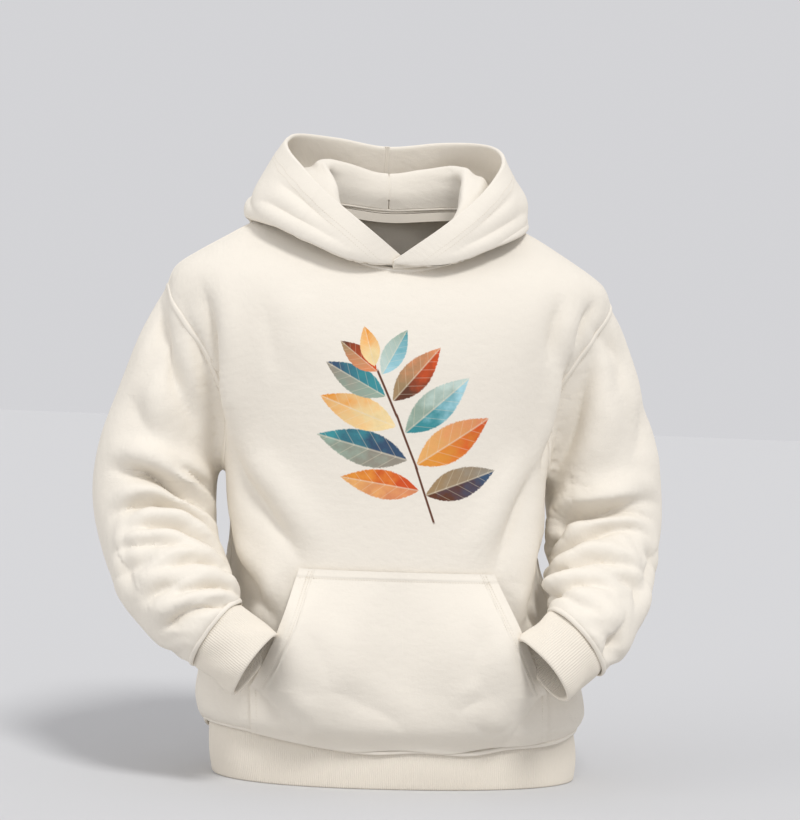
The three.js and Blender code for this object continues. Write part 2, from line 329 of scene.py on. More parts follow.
# height and half width of the armhole's seam, seen from the front
ARMHOLE = [
    (0.36, 0.2100),
    (0.41, 0.2065),
    (0.44, 0.2080),
    (0.47, 0.2120),
    (0.50, 0.2190),
    (0.53, 0.2320),
    (0.56, 0.2520),
    (0.59, 0.2720),
    (0.62, 0.2880),
    (0.66, 0.3050),
]
# the length that the cloth has to spare, as a share of its run: down the body, and along a sleeve
SPARE_BODY, SPARE_SLEEVE, SPARE_ELBOW, SPARE_FOREARM = 0.055, 0.02, 0.10, 0.20
SPARE_WIDTH = 0.005  # to each side of the body
CUFF_REACH = 0.085  # all of the sleeve within this of a cuff's seam belongs to that forearm
HANG_FRAMES = 20

pattern = in_pattern(points_of(skin))


def off_armhole(name, points):
    """How far points of the pattern lie beyond an armhole's seam: on the sleeve it is above 0."""
    side = ARMS[name]["side"]
    middle, radius = arm_lines[name]
    above = side * points[:, 0] - smooth_rows(ARMHOLE, points[:, 2])[:, 0]
    free = (points[:, 2] < UNDERARM) & (side * points[:, 0] > 0)
    place, far = nearest_on(middle, points[free])
    above[points[:, 2] < UNDERARM] = -1
    above[free] = np.where(far < radius[place] + ARM_CLEAR / 2, 1, -1)
    return above


def past_cuff_seam(name, points):
    """How far points of the pattern lie past a cuff's seam. Only points of that forearm can be past it."""
    start, end = cuff_line(**ARMS[name])
    ahead = (points - start) @ unit(end - start)
    return np.where(np.linalg.norm(points - start, axis=1) < CUFF_REACH, ahead, -1)


def off_neckline(points):
    """Above 0 outside the neck's oval."""
    oval = np.hypot(points[:, 0] / NECK_HALF_WIDTH, (points[:, 1] + NECK_FORWARD) / NECK_HALF_DEPTH)
    return np.where(points[:, 2] > 0.56, (oval - 1) * NECK_HALF_DEPTH, 1)


def cut_sizes():
    """The cloth as it was cut: it lies away from its worn place by the length that it has to spare."""
    x, z = pattern[:, 0], pattern[:, 2]
    spare = np.zeros_like(pattern)
    spare[:, 0] = SPARE_WIDTH * np.sign(x) * ramp(np.abs(x), 0.11, 0.25)
    spare[:, 2] = -SPARE_BODY * np.clip(0.38 - z, 0, None)
    for name, (middle, _) in arm_lines.items():
        steps = np.linalg.norm(np.diff(middle, axis=0), axis=1)
        run = unit(np.gradient(middle, axis=0))[1:]
        share = np.cumsum(steps) / steps.sum()
        extra = SPARE_SLEEVE + SPARE_ELBOW * np.exp(-(((share - 0.52) / 0.14) ** 2))
        extra = extra + SPARE_FOREARM * ramp(share, 0.62, 0.80)
        drift = np.cumsum((extra * ramp(share, 0.2, 0.3) * steps)[:, None] * run, axis=0)
        drift = np.concatenate([np.zeros((1, 3)), drift])
        place, _ = nearest_on(middle, pattern)
        on_arm = ramp(off_armhole(name, pattern), -0.012, 0.012)[:, None]
        spare = spare * (1 - on_arm) + drift[place] * on_arm
    return spare


def copy_of(piece):
    twin = piece.copy()
    twin.data = piece.data.copy()
    bpy.context.scene.collection.objects.link(twin)
    return twin


def hang(skin):
    """Lets the skin hang for a moment over the wearer's shape, held at the neck, hem and cuffs."""
    worn = points_of(skin)
    normals = normals_of(skin)
    held = ramp(pattern[:, 2], BAND_HEIGHT + 0.006, BAND_HEIGHT - 0.008)
    held = np.maximum(held, ramp(off_neckline(pattern), 0.012, 0.003))
    for name in ARMS:
        near_cuff = ramp(past_cuff_seam(name, pattern), -0.010, -0.002)
        held = np.maximum(held, near_cuff * (off_armhole(name, pattern) > 0))
    group = skin.vertex_groups.new(name="held")
    for i in np.nonzero(held > 0.01)[0]:
        group.add([int(i)], float(held[i]), "REPLACE")

    wearer = copy_of(skin)
    on_top = ramp(normals[:, 2], 0.1, 0.5) * ramp(pattern[:, 2], 0.56, 0.63)
    on_sleeve = np.max([ramp(off_armhole(name, pattern), -0.02, 0.02) for name in ARMS], axis=0)
    room = 0.002 + (0.003 + 0.004 * on_sleeve) * (1 - on_top)
    move_to(wearer, worn - normals * room[:, None])
    finish_with(wearer, "SMOOTH", factor=0.5, iterations=4)
    wearer.modifiers.new("body", "COLLISION")
    wearer.collision.thickness_outer = 0.001
    wearer.collision.cloth_friction = 4

    skin.shape_key_add(name="worn", from_mix=False)
    cut = skin.shape_key_add(name="cut", from_mix=False)
    cut.data.foreach_set("co", (worn + cut_sizes()).astype(np.float32).ravel())
    cut.value = 0
    cloth = skin.modifiers.new("cloth", "CLOTH")
    cloth.settings.quality = 4
    cloth.settings.mass = 0.3
    cloth.settings.tension_stiffness = cloth.settings.compression_stiffness = 20
    cloth.settings.shear_stiffness = 8
    cloth.settings.bending_stiffness = 25
    cloth.settings.air_damping = 2
    cloth.settings.vertex_group_mass = "held"
    cloth.settings.rest_shape_key = cut
    cloth.settings.effector_weights.gravity = 0.4
    cloth.collision_settings.distance_min = 0.001
    cloth.collision_settings.use_self_collision = False
    cloth.point_cache.frame_end = HANG_FRAMES
    scene = bpy.context.scene
    scene.frame_start, scene.frame_end = 1, HANG_FRAMES
    for moment in range(1, HANG_FRAMES + 1):
        scene.frame_set(moment)
    seen = skin.evaluated_get(bpy.context.evaluated_depsgraph_get())
    hung = np.array([vertex.co[:] for vertex in seen.data.vertices])
    skin.modifiers.clear()
    skin.shape_key_clear()
    skin.vertex_groups.clear()
    bpy.data.objects.remove(wearer)
    scene.frame_set(1)
    taut = 0.45 + 0.35 * ramp(pattern[:, 2], 0.30, 0.42) * (1 - on_sleeve)
    return hung + taut[:, None] * (worn - hung)


drawn = copy_of(skin)
move_to(skin, hang(skin))
finish_with(skin, "SMOOTH", factor=0.5, iterations=1)
for piece in (skin, drawn):
    finish_with(piece, "SUBSURF", levels=1, render_levels=1)
pattern = in_pattern(points_of(drawn))
bpy.data.objects.remove(drawn)


# ---------------------------------------------------------------- the folds
# Where the cloth is pushed together it breaks into folds: a tight crease with a roll of cloth beside it.
# Each is a line over the cloth, listed by x and z on the front or on the back of the piece.

FOLD_LEAN = 0.4  # how far a roll leans over its crease, as a share of the roll
OTHER_ROLL = 0.25  # of the low roll on the crease's other side, as a share of the roll
LINE_STEP = 0.004  # between the spots of a line over the cloth


def distance_along(spots):
    """How far along the line each of its spots lies."""
    return np.concatenate([[0], np.cumsum(np.linalg.norm(np.diff(spots, axis=0), axis=1))])


def curve_through(spots):
    """A smooth line through spots."""
    far = distance_along(spots)
    rows = np.concatenate([far[:, None], spots], axis=1)
    return smooth_rows(rows, np.linspace(0, far[-1], max(4, round(far[-1] / LINE_STEP) + 1)))


class Cover:
    """The cloth as it lies now, to find its surface from outside."""

    def __init__(self, piece):
        mesh = bmesh.new()
        mesh.from_mesh(piece.data)
        self.tree = BVHTree.FromBMesh(mesh)
        mesh.free()

    def seen_from(self, side, x, z):
        """The outermost spot at x, z: side is -1 for the front of the piece and 1 for its back."""
        hit, normal, _, _ = self.tree.ray_cast(Vector((x, side * 1.0, z)), Vector((0, -side, 0)))
        if hit is None:
            hit, normal, _, _ = self.tree.find_nearest(Vector((x, side * 0.15, z)))
        return np.array(hit), np.array(normal)

    def nearest(self, spot):
        hit, normal, _, _ = self.tree.find_nearest(Vector(spot))
        return np.array(hit), np.array(normal)

    def line(self, spots):
        """A line lying on the cloth, and the way out from the cloth along it."""
        for _ in range(2):
            found = [self.nearest(spot) for spot in curve_through(spots)]
            spots, out = np.moveaxis(found, 1, 0)
        return spots, out


def fold(points, normals, line, out, depth, roll, width, deepest=0.5, where=1.0):
    """Moves the points to press a crease along a line, with its roll on the left of the line's run.
    One that is deepest past its middle keeps its depth up to its end."""
    low, high = line.min(axis=0) - 5 * width, line.max(axis=0) + 5 * width
    near = np.nonzero(np.all((points > low) & (points < high), axis=1))[0]
    place, _ = nearest_on(line, points[near])
    run = unit(np.gradient(line, axis=0))
    away = points[near] - line[place]
    past = np.einsum("ij,ij->i", away, run[place])
    left = unit(np.cross(out[place], run[place]))
    across = np.einsum("ij,ij->i", away, left) / width
    deep = np.abs(np.einsum("ij,ij->i", away, out[place]))
    alike = np.einsum("ij,ij->i", normals[near], out[place])
    share = place / (len(line) - 1)
    end = 1.3 if deepest > 0.5 else 1.04
    strength = ramp(share, -0.04, deepest - 0.08) * ramp(share, end, deepest + 0.08)
    strength = strength * np.exp(-((past / (1.5 * width)) ** 2)) * np.broadcast_to(where, len(points))[near]
    strength = strength * ramp(deep, 4 * width, 1.5 * width) * ramp(alike, 0.0, 0.6)
    crease = np.exp(-(np.sqrt(across**2 + 0.06) - 0.245) * 1.7)
    raised = np.exp(-(((across - 1.75) / 1.15) ** 2)) + OTHER_ROLL * np.exp(-(((across + 1.9) / 1.4) ** 2))
    lift = strength * (roll * raised - depth * crease)
    shift = -strength * FOLD_LEAN * roll * np.exp(-(((across - 1.3) / 0.9) ** 2))
    points[near] += lift[:, None] * normals[near] + shift[:, None] * left


def fold_each(skin, side, folds, deepest=0.5, where=1.0):
    """Each fold: its depth, its roll, its half width and its spots. It is deepest at a share of its run.
    where, given for each point, is 0 where the cloth stays as it is."""
    cloth = Cover(skin)
    points, normals = points_of(skin), normals_of(skin)
    for depth, roll, width, spots in folds:
        line, out = cloth.line([cloth.seen_from(side, x, z)[0] for x, z in spots])
        fold(points, normals, line, out, depth, roll, width, deepest, where)
    move_to(skin, points)


FRONT_FOLDS = [
    # upper sleeve and armhole, on the wearer's right
    (0.015, 0.010, 0.019, [(-0.292, 0.600), (-0.286, 0.545), (-0.268, 0.485), (-0.238, 0.425)]),
    (0.009, 0.006, 0.013, [(-0.260, 0.585), (-0.243, 0.535), (-0.227, 0.485), (-0.214, 0.440)]),
    (0.015, 0.012, 0.014,
     [(-0.246, 0.622), (-0.232, 0.575), (-0.221, 0.530), (-0.213, 0.480), (-0.206, 0.400)]),
    (0.004, 0.004, 0.022, [(-0.172, 0.610), (-0.160, 0.555), (-0.150, 0.490)]),
    (0.006, 0.006, 0.022, [(-0.330, 0.480), (-0.312, 0.440), (-0.280, 0.405)]),
    # down the body's front on the wearer's right
    (0.011, 0.009, 0.018, [(-0.200, 0.425), (-0.185, 0.378), (-0.150, 0.330), (-0.100, 0.262)]),
    (0.007, 0.006, 0.014, [(-0.190, 0.290), (-0.172, 0.250), (-0.150, 0.215), (-0.120, 0.180)]),
    # upper sleeve and armhole, on the wearer's left
    (0.014, 0.009, 0.019, [(0.256, 0.560), (0.246, 0.500), (0.234, 0.440), (0.214, 0.375)]),
    (0.008, 0.006, 0.015, [(0.206, 0.620), (0.197, 0.575), (0.190, 0.522)]),
    (0.009, 0.006, 0.012, [(0.258, 0.622), (0.238, 0.580), (0.224, 0.540)]),
    (0.013, 0.010, 0.014, [(0.192, 0.385), (0.204, 0.440), (0.214, 0.490), (0.224, 0.548)]),
    (0.006, 0.006, 0.022, [(0.300, 0.600), (0.296, 0.540), (0.276, 0.478)]),
    (0.006, 0.006, 0.022, [(0.325, 0.490), (0.330, 0.450), (0.314, 0.408)]),
    # down the body's front on the wearer's left
    (0.011, 0.009, 0.018, [(0.128, 0.262), (0.142, 0.305), (0.158, 0.345), (0.188, 0.410)]),
    (0.007, 0.006, 0.014, [(0.160, 0.192), (0.182, 0.235), (0.190, 0.275), (0.198, 0.322)]),
]
# the elbows' creases, deeper towards the inside of the elbow: the wearer's right arm
RIGHT_ELBOW_FOLDS = [
    (0.0263, 0.0165, 0.013,
     [(-0.354, 0.374), (-0.325, 0.378), (-0.292, 0.372), (-0.255, 0.352), (-0.224, 0.330)]),
    (0.0113, 0.0077, 0.009, [(-0.276, 0.394), (-0.246, 0.371), (-0.226, 0.354)]),
    (0.0213, 0.0132, 0.010,
     [(-0.347, 0.314), (-0.320, 0.334), (-0.288, 0.342), (-0.252, 0.333), (-0.220, 0.311)]),
    (0.0163, 0.0099, 0.009,
     [(-0.332, 0.296), (-0.298, 0.311), (-0.262, 0.313), (-0.236, 0.302), (-0.214, 0.286)]),
    (0.0088, 0.0066, 0.009, [(-0.342, 0.272), (-0.315, 0.288), (-0.284, 0.293), (-0.250, 0.290)]),
    (0.0138, 0.0077, 0.009, [(-0.300, 0.254), (-0.262, 0.272), (-0.232, 0.277), (-0.206, 0.268)]),
    (0.0125, 0.0077, 0.009, [(-0.282, 0.226), (-0.242, 0.245), (-0.212, 0.249), (-0.186, 0.238)]),
    (0.0125, 0.0077, 0.008, [(-0.268, 0.200), (-0.234, 0.222), (-0.202, 0.228), (-0.172, 0.214)]),
    (0.0125, 0.0088, 0.014, [(-0.334, 0.206), (-0.296, 0.225), (-0.250, 0.254)]),
    (0.0125, 0.0088, 0.012, [(-0.302, 0.168), (-0.276, 0.191), (-0.244, 0.224)]),
    (0.0075, 0.0066, 0.016, [(-0.347, 0.248), (-0.320, 0.255), (-0.290, 0.272)]),
]
# the wearer's left arm
LEFT_ELBOW_FOLDS = [
    (0.0213, 0.0143, 0.013,
     [(0.192, 0.300), (0.228, 0.328), (0.262, 0.347), (0.300, 0.357), (0.335, 0.360), (0.364, 0.354)]),
    (0.0163, 0.0099, 0.011,
     [(0.194, 0.276), (0.234, 0.306), (0.270, 0.322), (0.308, 0.327), (0.350, 0.308)]),
    (0.0113, 0.0066, 0.009, [(0.244, 0.332), (0.278, 0.345), (0.315, 0.348), (0.354, 0.330)]),
    (0.0138, 0.0088, 0.010,
     [(0.186, 0.246), (0.220, 0.278), (0.252, 0.291), (0.300, 0.284), (0.338, 0.262)]),
    (0.0125, 0.0077, 0.009, [(0.174, 0.222), (0.208, 0.255), (0.240, 0.264), (0.286, 0.250)]),
    (0.0113, 0.0066, 0.009, [(0.160, 0.200), (0.192, 0.232), (0.224, 0.240), (0.268, 0.218)]),
    (0.0100, 0.0066, 0.012, [(0.254, 0.167), (0.272, 0.196), (0.290, 0.231)]),
    (0.0100, 0.0066, 0.014, [(0.272, 0.272), (0.312, 0.256), (0.344, 0.229)]),
    (0.0063, 0.0055, 0.016, [(0.232, 0.216), (0.262, 0.200), (0.300, 0.169)]),
    (0.0075, 0.0055, 0.014, [(0.318, 0.300), (0.341, 0.286), (0.357, 0.265)]),
]
# the back of the piece, listed as seen from the front too
BACK_FOLDS = [
    (0.008, 0.004, 0.012, [(0.240, 0.400), (0.262, 0.450), (0.283, 0.510), (0.292, 0.570)]),
    (0.008, 0.004, 0.012, [(-0.235, 0.400), (-0.258, 0.450), (-0.280, 0.510), (-0.290, 0.570)]),
    (0.006, 0.005, 0.013, [(0.200, 0.420), (0.206, 0.480), (0.218, 0.540), (0.235, 0.590)]),
    (0.006, 0.005, 0.013, [(-0.235, 0.590), (-0.216, 0.540), (-0.204, 0.480), (-0.198, 0.420)]),
    (0.006, 0.005, 0.016, [(0.200, 0.400), (0.165, 0.345), (0.120, 0.290), (0.090, 0.250)]),
    (0.006, 0.005, 0.016, [(-0.080, 0.235), (-0.115, 0.280), (-0.160, 0.335), (-0.195, 0.390)]),
    (0.005, 0.004, 0.014, [(0.190, 0.330), (0.150, 0.270), (0.130, 0.210)]),
    (0.005, 0.004, 0.014, [(-0.115, 0.200), (-0.145, 0.260), (-0.185, 0.320)]),
    (0.004, 0.005, 0.022, [(-0.090, 0.440), (-0.030, 0.400), (0.040, 0.392), (0.100, 0.425)]),
    (0.004, 0.005, 0.022, [(-0.110, 0.520), (-0.040, 0.480), (0.050, 0.475), (0.120, 0.510)]),
    (0.005, 0.005, 0.016, [(0.130, 0.165), (0.060, 0.150), (-0.020, 0.160), (-0.080, 0.150)]),
    (0.010, 0.007, 0.010, [(0.344, 0.346), (0.315, 0.335), (0.270, 0.330), (0.225, 0.345)]),
    (0.009, 0.006, 0.009, [(0.350, 0.386), (0.325, 0.385), (0.290, 0.375), (0.250, 0.382)]),
    (0.009, 0.006, 0.009, [(0.338, 0.303), (0.312, 0.297), (0.275, 0.300), (0.232, 0.312)]),
    (0.008, 0.006, 0.009, [(0.335, 0.262), (0.300, 0.258), (0.262, 0.268), (0.228, 0.285)]),
    (0.008, 0.005, 0.008, [(0.312, 0.225), (0.280, 0.222), (0.245, 0.238)]),
    (0.007, 0.005, 0.008, [(0.292, 0.190), (0.268, 0.192), (0.238, 0.210)]),
    (0.010, 0.007, 0.010, [(-0.222, 0.355), (-0.265, 0.342), (-0.310, 0.347), (-0.342, 0.356)]),
    (0.009, 0.006, 0.009, [(-0.250, 0.395), (-0.290, 0.386), (-0.320, 0.394), (-0.344, 0.398)]),
    (0.009, 0.006, 0.009, [(-0.228, 0.322), (-0.270, 0.308), (-0.308, 0.305), (-0.338, 0.312)]),
    (0.008, 0.006, 0.009, [(-0.225, 0.292), (-0.258, 0.274), (-0.298, 0.264), (-0.335, 0.268)]),
    (0.008, 0.005, 0.008, [(-0.238, 0.245), (-0.275, 0.228), (-0.310, 0.230)]),
    (0.007, 0.005, 0.008, [(-0.232, 0.215), (-0.262, 0.197), (-0.288, 0.195)]),
]
fold_each(skin, -1, FRONT_FOLDS)
on_right, on_left = (ramp(off_armhole(name, pattern), -0.012, 0.012) for name in ("right", "left"))
fold_each(skin, -1, RIGHT_ELBOW_FOLDS, 0.6, on_right)
fold_each(skin, -1, LEFT_ELBOW_FOLDS, 0.4, on_left)
fold_each(skin, 1, BACK_FOLDS)
finish_with(skin, "SMOOTH", factor=0.4, iterations=1)


# ---------------------------------------------------------------- drawn in at the hem and the cuffs
# The ribs measure less round than the cloth sewn to them, so its last two centimetres turn in to meet
# them in a soft roll.

ROLL = 0.018  # how far from a seam the cloth starts to turn in
NEAR_HEM = 0.11  # below this height it may lie so near the hem's seam
# the hem's seam: x and height, on the front
HEM_SEAM = [
    (-0.252, 0.070),
    (-0.200, 0.067),
    (-0.145, 0.059),
    (-0.100, 0.052),
    (-0.040, 0.046),
    (0.020, 0.049),
    (0.085, 0.046),
    (0.130, 0.053),
    (0.195, 0.056),
    (0.235, 0.066),
    (0.270, 0.074),
]
HEM_BACK, HEM_LEVEL = 0.050, 0.060  # its height on the back, and about the middle of all its heights
# the hem band: height, half width, depth of the front and of the back
BAND = [
    (0.000, 0.2315, 0.1210, 0.1130),
    (0.020, 0.2335, 0.1225, 0.1145),
    (0.040, 0.2335, 0.1222, 0.1145),
    (0.060, 0.2325, 0.1210, 0.1138),
    (0.080, 0.2300, 0.1185, 0.1120),
]
BAND_RING, BAND_EASE = 0.055, (1.018, 1.032, 0)  # where the cloth meets the band, and how loosely
CUFF_RADIUS, CUFF_DEPTH, CUFF_EASE = 0.0465, 0.72, 0.0028


def hem_height(points):
    """The height of the hem's seam above or below points of the pattern."""
    front = smooth_rows(HEM_SEAM, points[:, 0])[:, 0]
    back = HEM_BACK + 0.003 * np.sin(points[:, 0] * 40)
    behind = ramp(points[:, 1], -0.03, 0.05)
    return front + (back - front) * behind


def draw_in(skin):
    """Turns the cloth in to the hem band and to both cuffs."""
    points = in_pattern(points_of(skin))
    turn = np.linspace(0, 2 * math.pi, 900)
    ring = section(BAND, turn, np.full(len(turn), BAND_RING)) * BAND_EASE
    low = np.nonzero(pattern[:, 2] < NEAR_HEM)[0]
    above = np.clip((pattern[low, 2] - hem_height(points[low])) / ROLL, 0, 1)
    pull = 1 - np.sqrt(above * (2 - above))
    place, _ = nearest_on(ring, points[low] * (1, 1, 0))
    points[low, :2] += pull[:, None] * (ring[place] - points[low])[:, :2]
    for name in ARMS:
        start, end = cuff_line(**ARMS[name])
        run = unit(end - start)
        wide, deep = across_arm(run)
        past = past_cuff_seam(name, pattern)
        near = np.nonzero((past > -ROLL) & (off_armhole(name, pattern) > 0))[0]
        pull = 1 - np.sqrt(1 - (1 + np.clip(past[near], -ROLL, 0) / ROLL) ** 2)
        away = points[near] - start
        away -= (away @ run)[:, None] * run
        angle = np.arctan2(away @ deep / CUFF_DEPTH, away @ wide)[:, None]
        ring = (CUFF_RADIUS + CUFF_EASE) * (wide * np.cos(angle) + deep * CUFF_DEPTH * np.sin(angle))
        points[near] += pull[:, None] * (ring - away)
    move_to(skin, set_in_frame(points))


draw_in(skin)


# ---------------------------------------------------------------- cutting the panels
# The skin is now cut where the sweatshirt's seams run: a front, a back and two sleeves, each a sheet of
# fleece with its brushed side inwards.

CLOTH_THICKNESS = 0.003
SLEEVE_RADIUS = 0.075  # at the middle of a sleeve, for its weave
KNIT_COLUMN, KNIT_ROW = 0.0013, 0.0011


def triangles_of(piece):
    piece.data.calc_loop_triangles()
    found = np.empty(len(piece.data.loop_triangles) * 3, np.int32)
    piece.data.loop_triangles.foreach_get("vertices", found)
    return found.reshape(-1, 3)


def cut_along(faces, at, value):
    """Cuts the triangles where value, given for each point, passes 0, and returns each side's faces."""
    value = np.where(np.abs(value) < 1e-5, 0, value)
    sign = np.sign(value)
    crossed = (sign[faces].max(axis=1) > 0) & (sign[faces].min(axis=1) < 0)
    whole, split = faces[~crossed], faces[crossed]
    signs = sign[split]
    through_corner = (signs == 0).any(axis=1)
    lone = np.argmax(signs == -signs.sum(axis=1, keepdims=True), axis=1)
    first = np.where(through_corner, np.argmax(signs == 0, axis=1), lone)
    split = np.take_along_axis(split, (first[:, None] + np.arange(3)) % 3, axis=1)
    two, three = split[through_corner], split[~through_corner]
    edges = np.sort(np.concatenate([two[:, 1:], three[:, :2], three[:, [2, 0]]]), axis=1)
    edges, number = np.unique(edges, axis=0, return_inverse=True)
    number = number.reshape(-1) + len(at)
    low, high = edges.T
    share = value[low] / (value[low] - value[high])
    at = np.concatenate([at, at[low] + share[:, None] * (at[high] - at[low])])
    value = np.concatenate([value, np.zeros(len(edges))])
    middle, before, after = np.split(number, [len(two), len(two) + len(three)])
    a, b, c = two.T
    halves = [(a, b, middle), (a, middle, c)]
    a, b, c = three.T
    thirds = [(a, before, after), (before, b, c), (before, c, after)]
    faces = np.concatenate([whole] + [np.stack(corners, -1) for corners in halves + thirds])
    above = value[faces].sum(axis=1) > 0
    return faces[above], faces[~above], at


def open_edges(faces):
    """The open edges of a sheet, each as point numbers in order, the longest first."""
    pairs = np.concatenate([faces[:, [0, 1]], faces[:, [1, 2]], faces[:, [2, 0]]])
    pairs = set(map(tuple, pairs.tolist()))
    following = {a: b for a, b in pairs if (b, a) not in pairs}
    chains = []
    while following:
        here = next(iter(following))
        chain = []
        while here in following:
            chain.append(here)
            here = following.pop(here)
        chains.append(chain)
    return sorted(chains, key=len, reverse=True)


def even(spots, step=LINE_STEP, closed=False, passes=3):
    """The line with its spots a step apart, and its unevenness smoothed away."""
    spots = np.asarray(spots, float)
    if closed:
        spots = np.concatenate([spots, spots[:1]])
    for _ in range(passes):
        far = distance_along(spots)
        places = np.linspace(0, far[-1], max(4, round(far[-1] / step)) + 1)
        spots = np.stack([np.interp(places, far, spots[:, axis]) for axis in range(3)], -1)
        if closed:
            ring = spots[:-1]
            ring = (np.roll(ring, 1, axis=0) + 2 * ring + np.roll(ring, -1, axis=0)) / 4
            spots = np.concatenate([ring, ring[:1]])
        else:
            spots[1:-1] = (spots[:-2] + 2 * spots[1:-1] + spots[2:]) / 4
    return spots[:-1] if closed else spots


def lay_flat(piece, places):
    """Notes where each point of the piece lies on the flat cloth, across and along it in metres."""
    flat = np.zeros((len(piece.data.vertices), 3), np.float32)
    flat[:, :2] = np.reshape(places, (-1, 2))
    piece.data.attributes.new("weave", "FLOAT_VECTOR", "POINT").data.foreach_set("vector", flat.ravel())


def thicken(piece):
    """Gives a sheet the thickness of the cloth, with the brushed side as its second material."""
    finish_with(piece, "SOLIDIFY", thickness=CLOTH_THICKNESS, offset=-1, material_offset=1)
    only(piece)
    bpy.ops.object.shade_smooth_by_angle(angle=math.radians(50))


def sheet_of_cloth(name, faces, at, weave):
    """A panel of these faces. weave tells where points of the pattern lie on the flat cloth."""
    used, number = np.unique(faces, return_inverse=True)
    piece = mesh_object(name, at[used, :3], number.reshape(-1, 3))
    lay_flat(piece, weave(at[used, 3:]))
    thicken(piece)
    return piece


def body_weave(sign):
    """The body's cloth laid flat, as seen from outside: sign is 1 for the front and -1 for the back."""

    def weave(points):
        x, z = points[:, 0], points[:, 2]
        return np.stack([sign * x * (1 + 0.5 * (x / 0.24) ** 4), z], -1)

    return weave


def sleeve_weave(name):
    """A sleeve's cloth unrolled from round the arm."""
    middle, _ = arm_lines[name]
    far = distance_along(middle)
    wide, _ = across_arm(unit(np.gradient(middle, axis=0)))

    def weave(points):
        place, _ = nearest_on(middle, points)
        away = points - middle[place]
        across = np.einsum("ij,ij->i", away, wide[place]) * ARMS[name]["side"]
        deep = away[:, 1] / SLEEVE_DEPTH
        return np.stack([np.arctan2(deep, across) * SLEEVE_RADIUS, far[place]], -1)

    return weave


CREAM = (0.80, 0.745, 0.655)


class Value:
    """The output of a shader node. Arithmetic with it adds Math nodes."""

    def __init__(self, tree, socket=None):
        self.tree, self.socket = tree, socket

    def node(self, kind, settings=None, inputs=None, output=0):
        """Any other node of the same tree, with numbers, colours or Values in its inputs."""
        made = self.tree.nodes.new(kind)
        for name, value in (settings or {}).items():
            setattr(made, name, value)
        for name, value in (inputs or {}).items():
            put(made.inputs[name], value)
        return Value(self.tree, made.outputs[output])

    def math(self, operation, *values):
        return self.node("ShaderNodeMath", {"operation": operation}, dict(enumerate(values)))

    def __add__(self, other):
        return self.math("ADD", self, other)

    def __sub__(self, other):
        return self.math("SUBTRACT", self, other)

    def __rsub__(self, other):
        return self.math("SUBTRACT", other, self)

    def __mul__(self, other):
        return self.math("MULTIPLY", self, other)

    def __truediv__(self, other):
        return self.math("DIVIDE", self, other)

    def __rtruediv__(self, other):
        return self.math("DIVIDE", other, self)

    def __abs__(self):
        return self.math("ABSOLUTE", self)

    __radd__ = __add__
    __rmul__ = __mul__

    def sine(self):
        return self.math("SINE", self)

    def between_0_and_1(self):
        return self.node("ShaderNodeClamp", None, {"Value": self})

    def mix(self, first, second):
        """The first colour where this is 0, and the second where it is 1."""
        settings = {"data_type": "RGBA"}
        return self.node("ShaderNodeMix", settings, {0: self, 6: first, 7: second}, output=2)


def put(socket, value):
    if isinstance(value, Value):
        value.tree.links.new(value.socket, socket)
    elif hasattr(value, "__len__") and len(value) == 3 and len(socket.default_value) == 4:
        socket.default_value = (*value, 1)
    else:
        socket.default_value = value


def new_material(name, roughness, sheen):
    """A material, its main shader, and the place on the flat cloth: across and along, in metres."""
    material = bpy.data.materials.new(name)
    material.use_nodes = True
    shader = material.node_tree.nodes["Principled BSDF"]
    shader.inputs["Roughness"].default_value = roughness
    shader.inputs["Specular IOR Level"].default_value = 0.2
    shader.inputs["Sheen Weight"].default_value = sheen
    shader.inputs["Sheen Roughness"].default_value = 0.6
    start = Value(material.node_tree)
    place = start.node("ShaderNodeAttribute", {"attribute_name": "weave"}, output=1)
    across = place.node("ShaderNodeSeparateXYZ", None, {0: place}, output=0)
    along = place.node("ShaderNodeSeparateXYZ", None, {0: place}, output=1)
    return material, shader, across, along


def cloudy(across, along, size, stretch=1.0, detail=3):
    """Soft noise from 0 to 1. stretch makes its patches wider than they are high."""
    spot = across.node("ShaderNodeCombineXYZ", None, {0: across / stretch, 1: along, 2: 0.0})
    inputs = {"Vector": spot, "Scale": 1 / size, "Detail": float(detail)}
    return spot.node("ShaderNodeTexNoise", None, inputs)


def bumped(shader, height, distance, strength):
    """Raises the surface by a height from 0 to 1, times a distance in metres."""
    inputs = {"Height": height, "Distance": distance, "Strength": strength}
    put(shader.inputs["Normal"], height.node("ShaderNodeBump", None, inputs))


def shaded(colour, amount):
    """The colour with its lightness multiplied by amount."""
    return colour.node("ShaderNodeVectorMath", {"operation": "SCALE"}, {0: colour, 3: amount})


def cream(across, *tint):
    """The cloth's own colour, with its red, green and blue multiplied by a tint."""
    red, green, blue = np.multiply(CREAM, tint or 1).tolist()
    return across.node("ShaderNodeCombineColor", None, {0: red, 1: green, 2: blue})


def knit_height(across, along):
    """Columns of stitches, each a row of slanted loops."""
    columns = abs((across * (math.pi / KNIT_COLUMN)).sine())
    loops = (along * (2 * math.pi / KNIT_ROW) + columns * 2.2).sine()
    return columns * 0.6 + loops * 0.25


def make_fleece(name, printed=None):
    """The knitted face of the fleece: faintly mottled, with its columns of stitches under a light fuzz.
    printed, if given, lays a print over the cloth's colour."""
    material, shader, across, along = new_material(name, 0.93, 0.06)
    colour = cream(across)
    if printed:
        colour = printed(across, along, colour)
    mottle = cloudy(across, along, 0.012, 3.0) - 0.5
    speckle = cloudy(across, along, 0.0016, 1.6, 2) - 0.5
    put(shader.inputs["Base Color"], shaded(colour, 1 + mottle * 0.035 + speckle * 0.04))
    fuzz = cloudy(across, along, 0.0009, 1.0, 2)
    lumps = cloudy(across, along, 0.008, 1.5, 2)
    bumped(shader, knit_height(across, along) * 0.4 + fuzz * 0.9 + lumps * 3.0, 0.00022, 0.8)
    return material


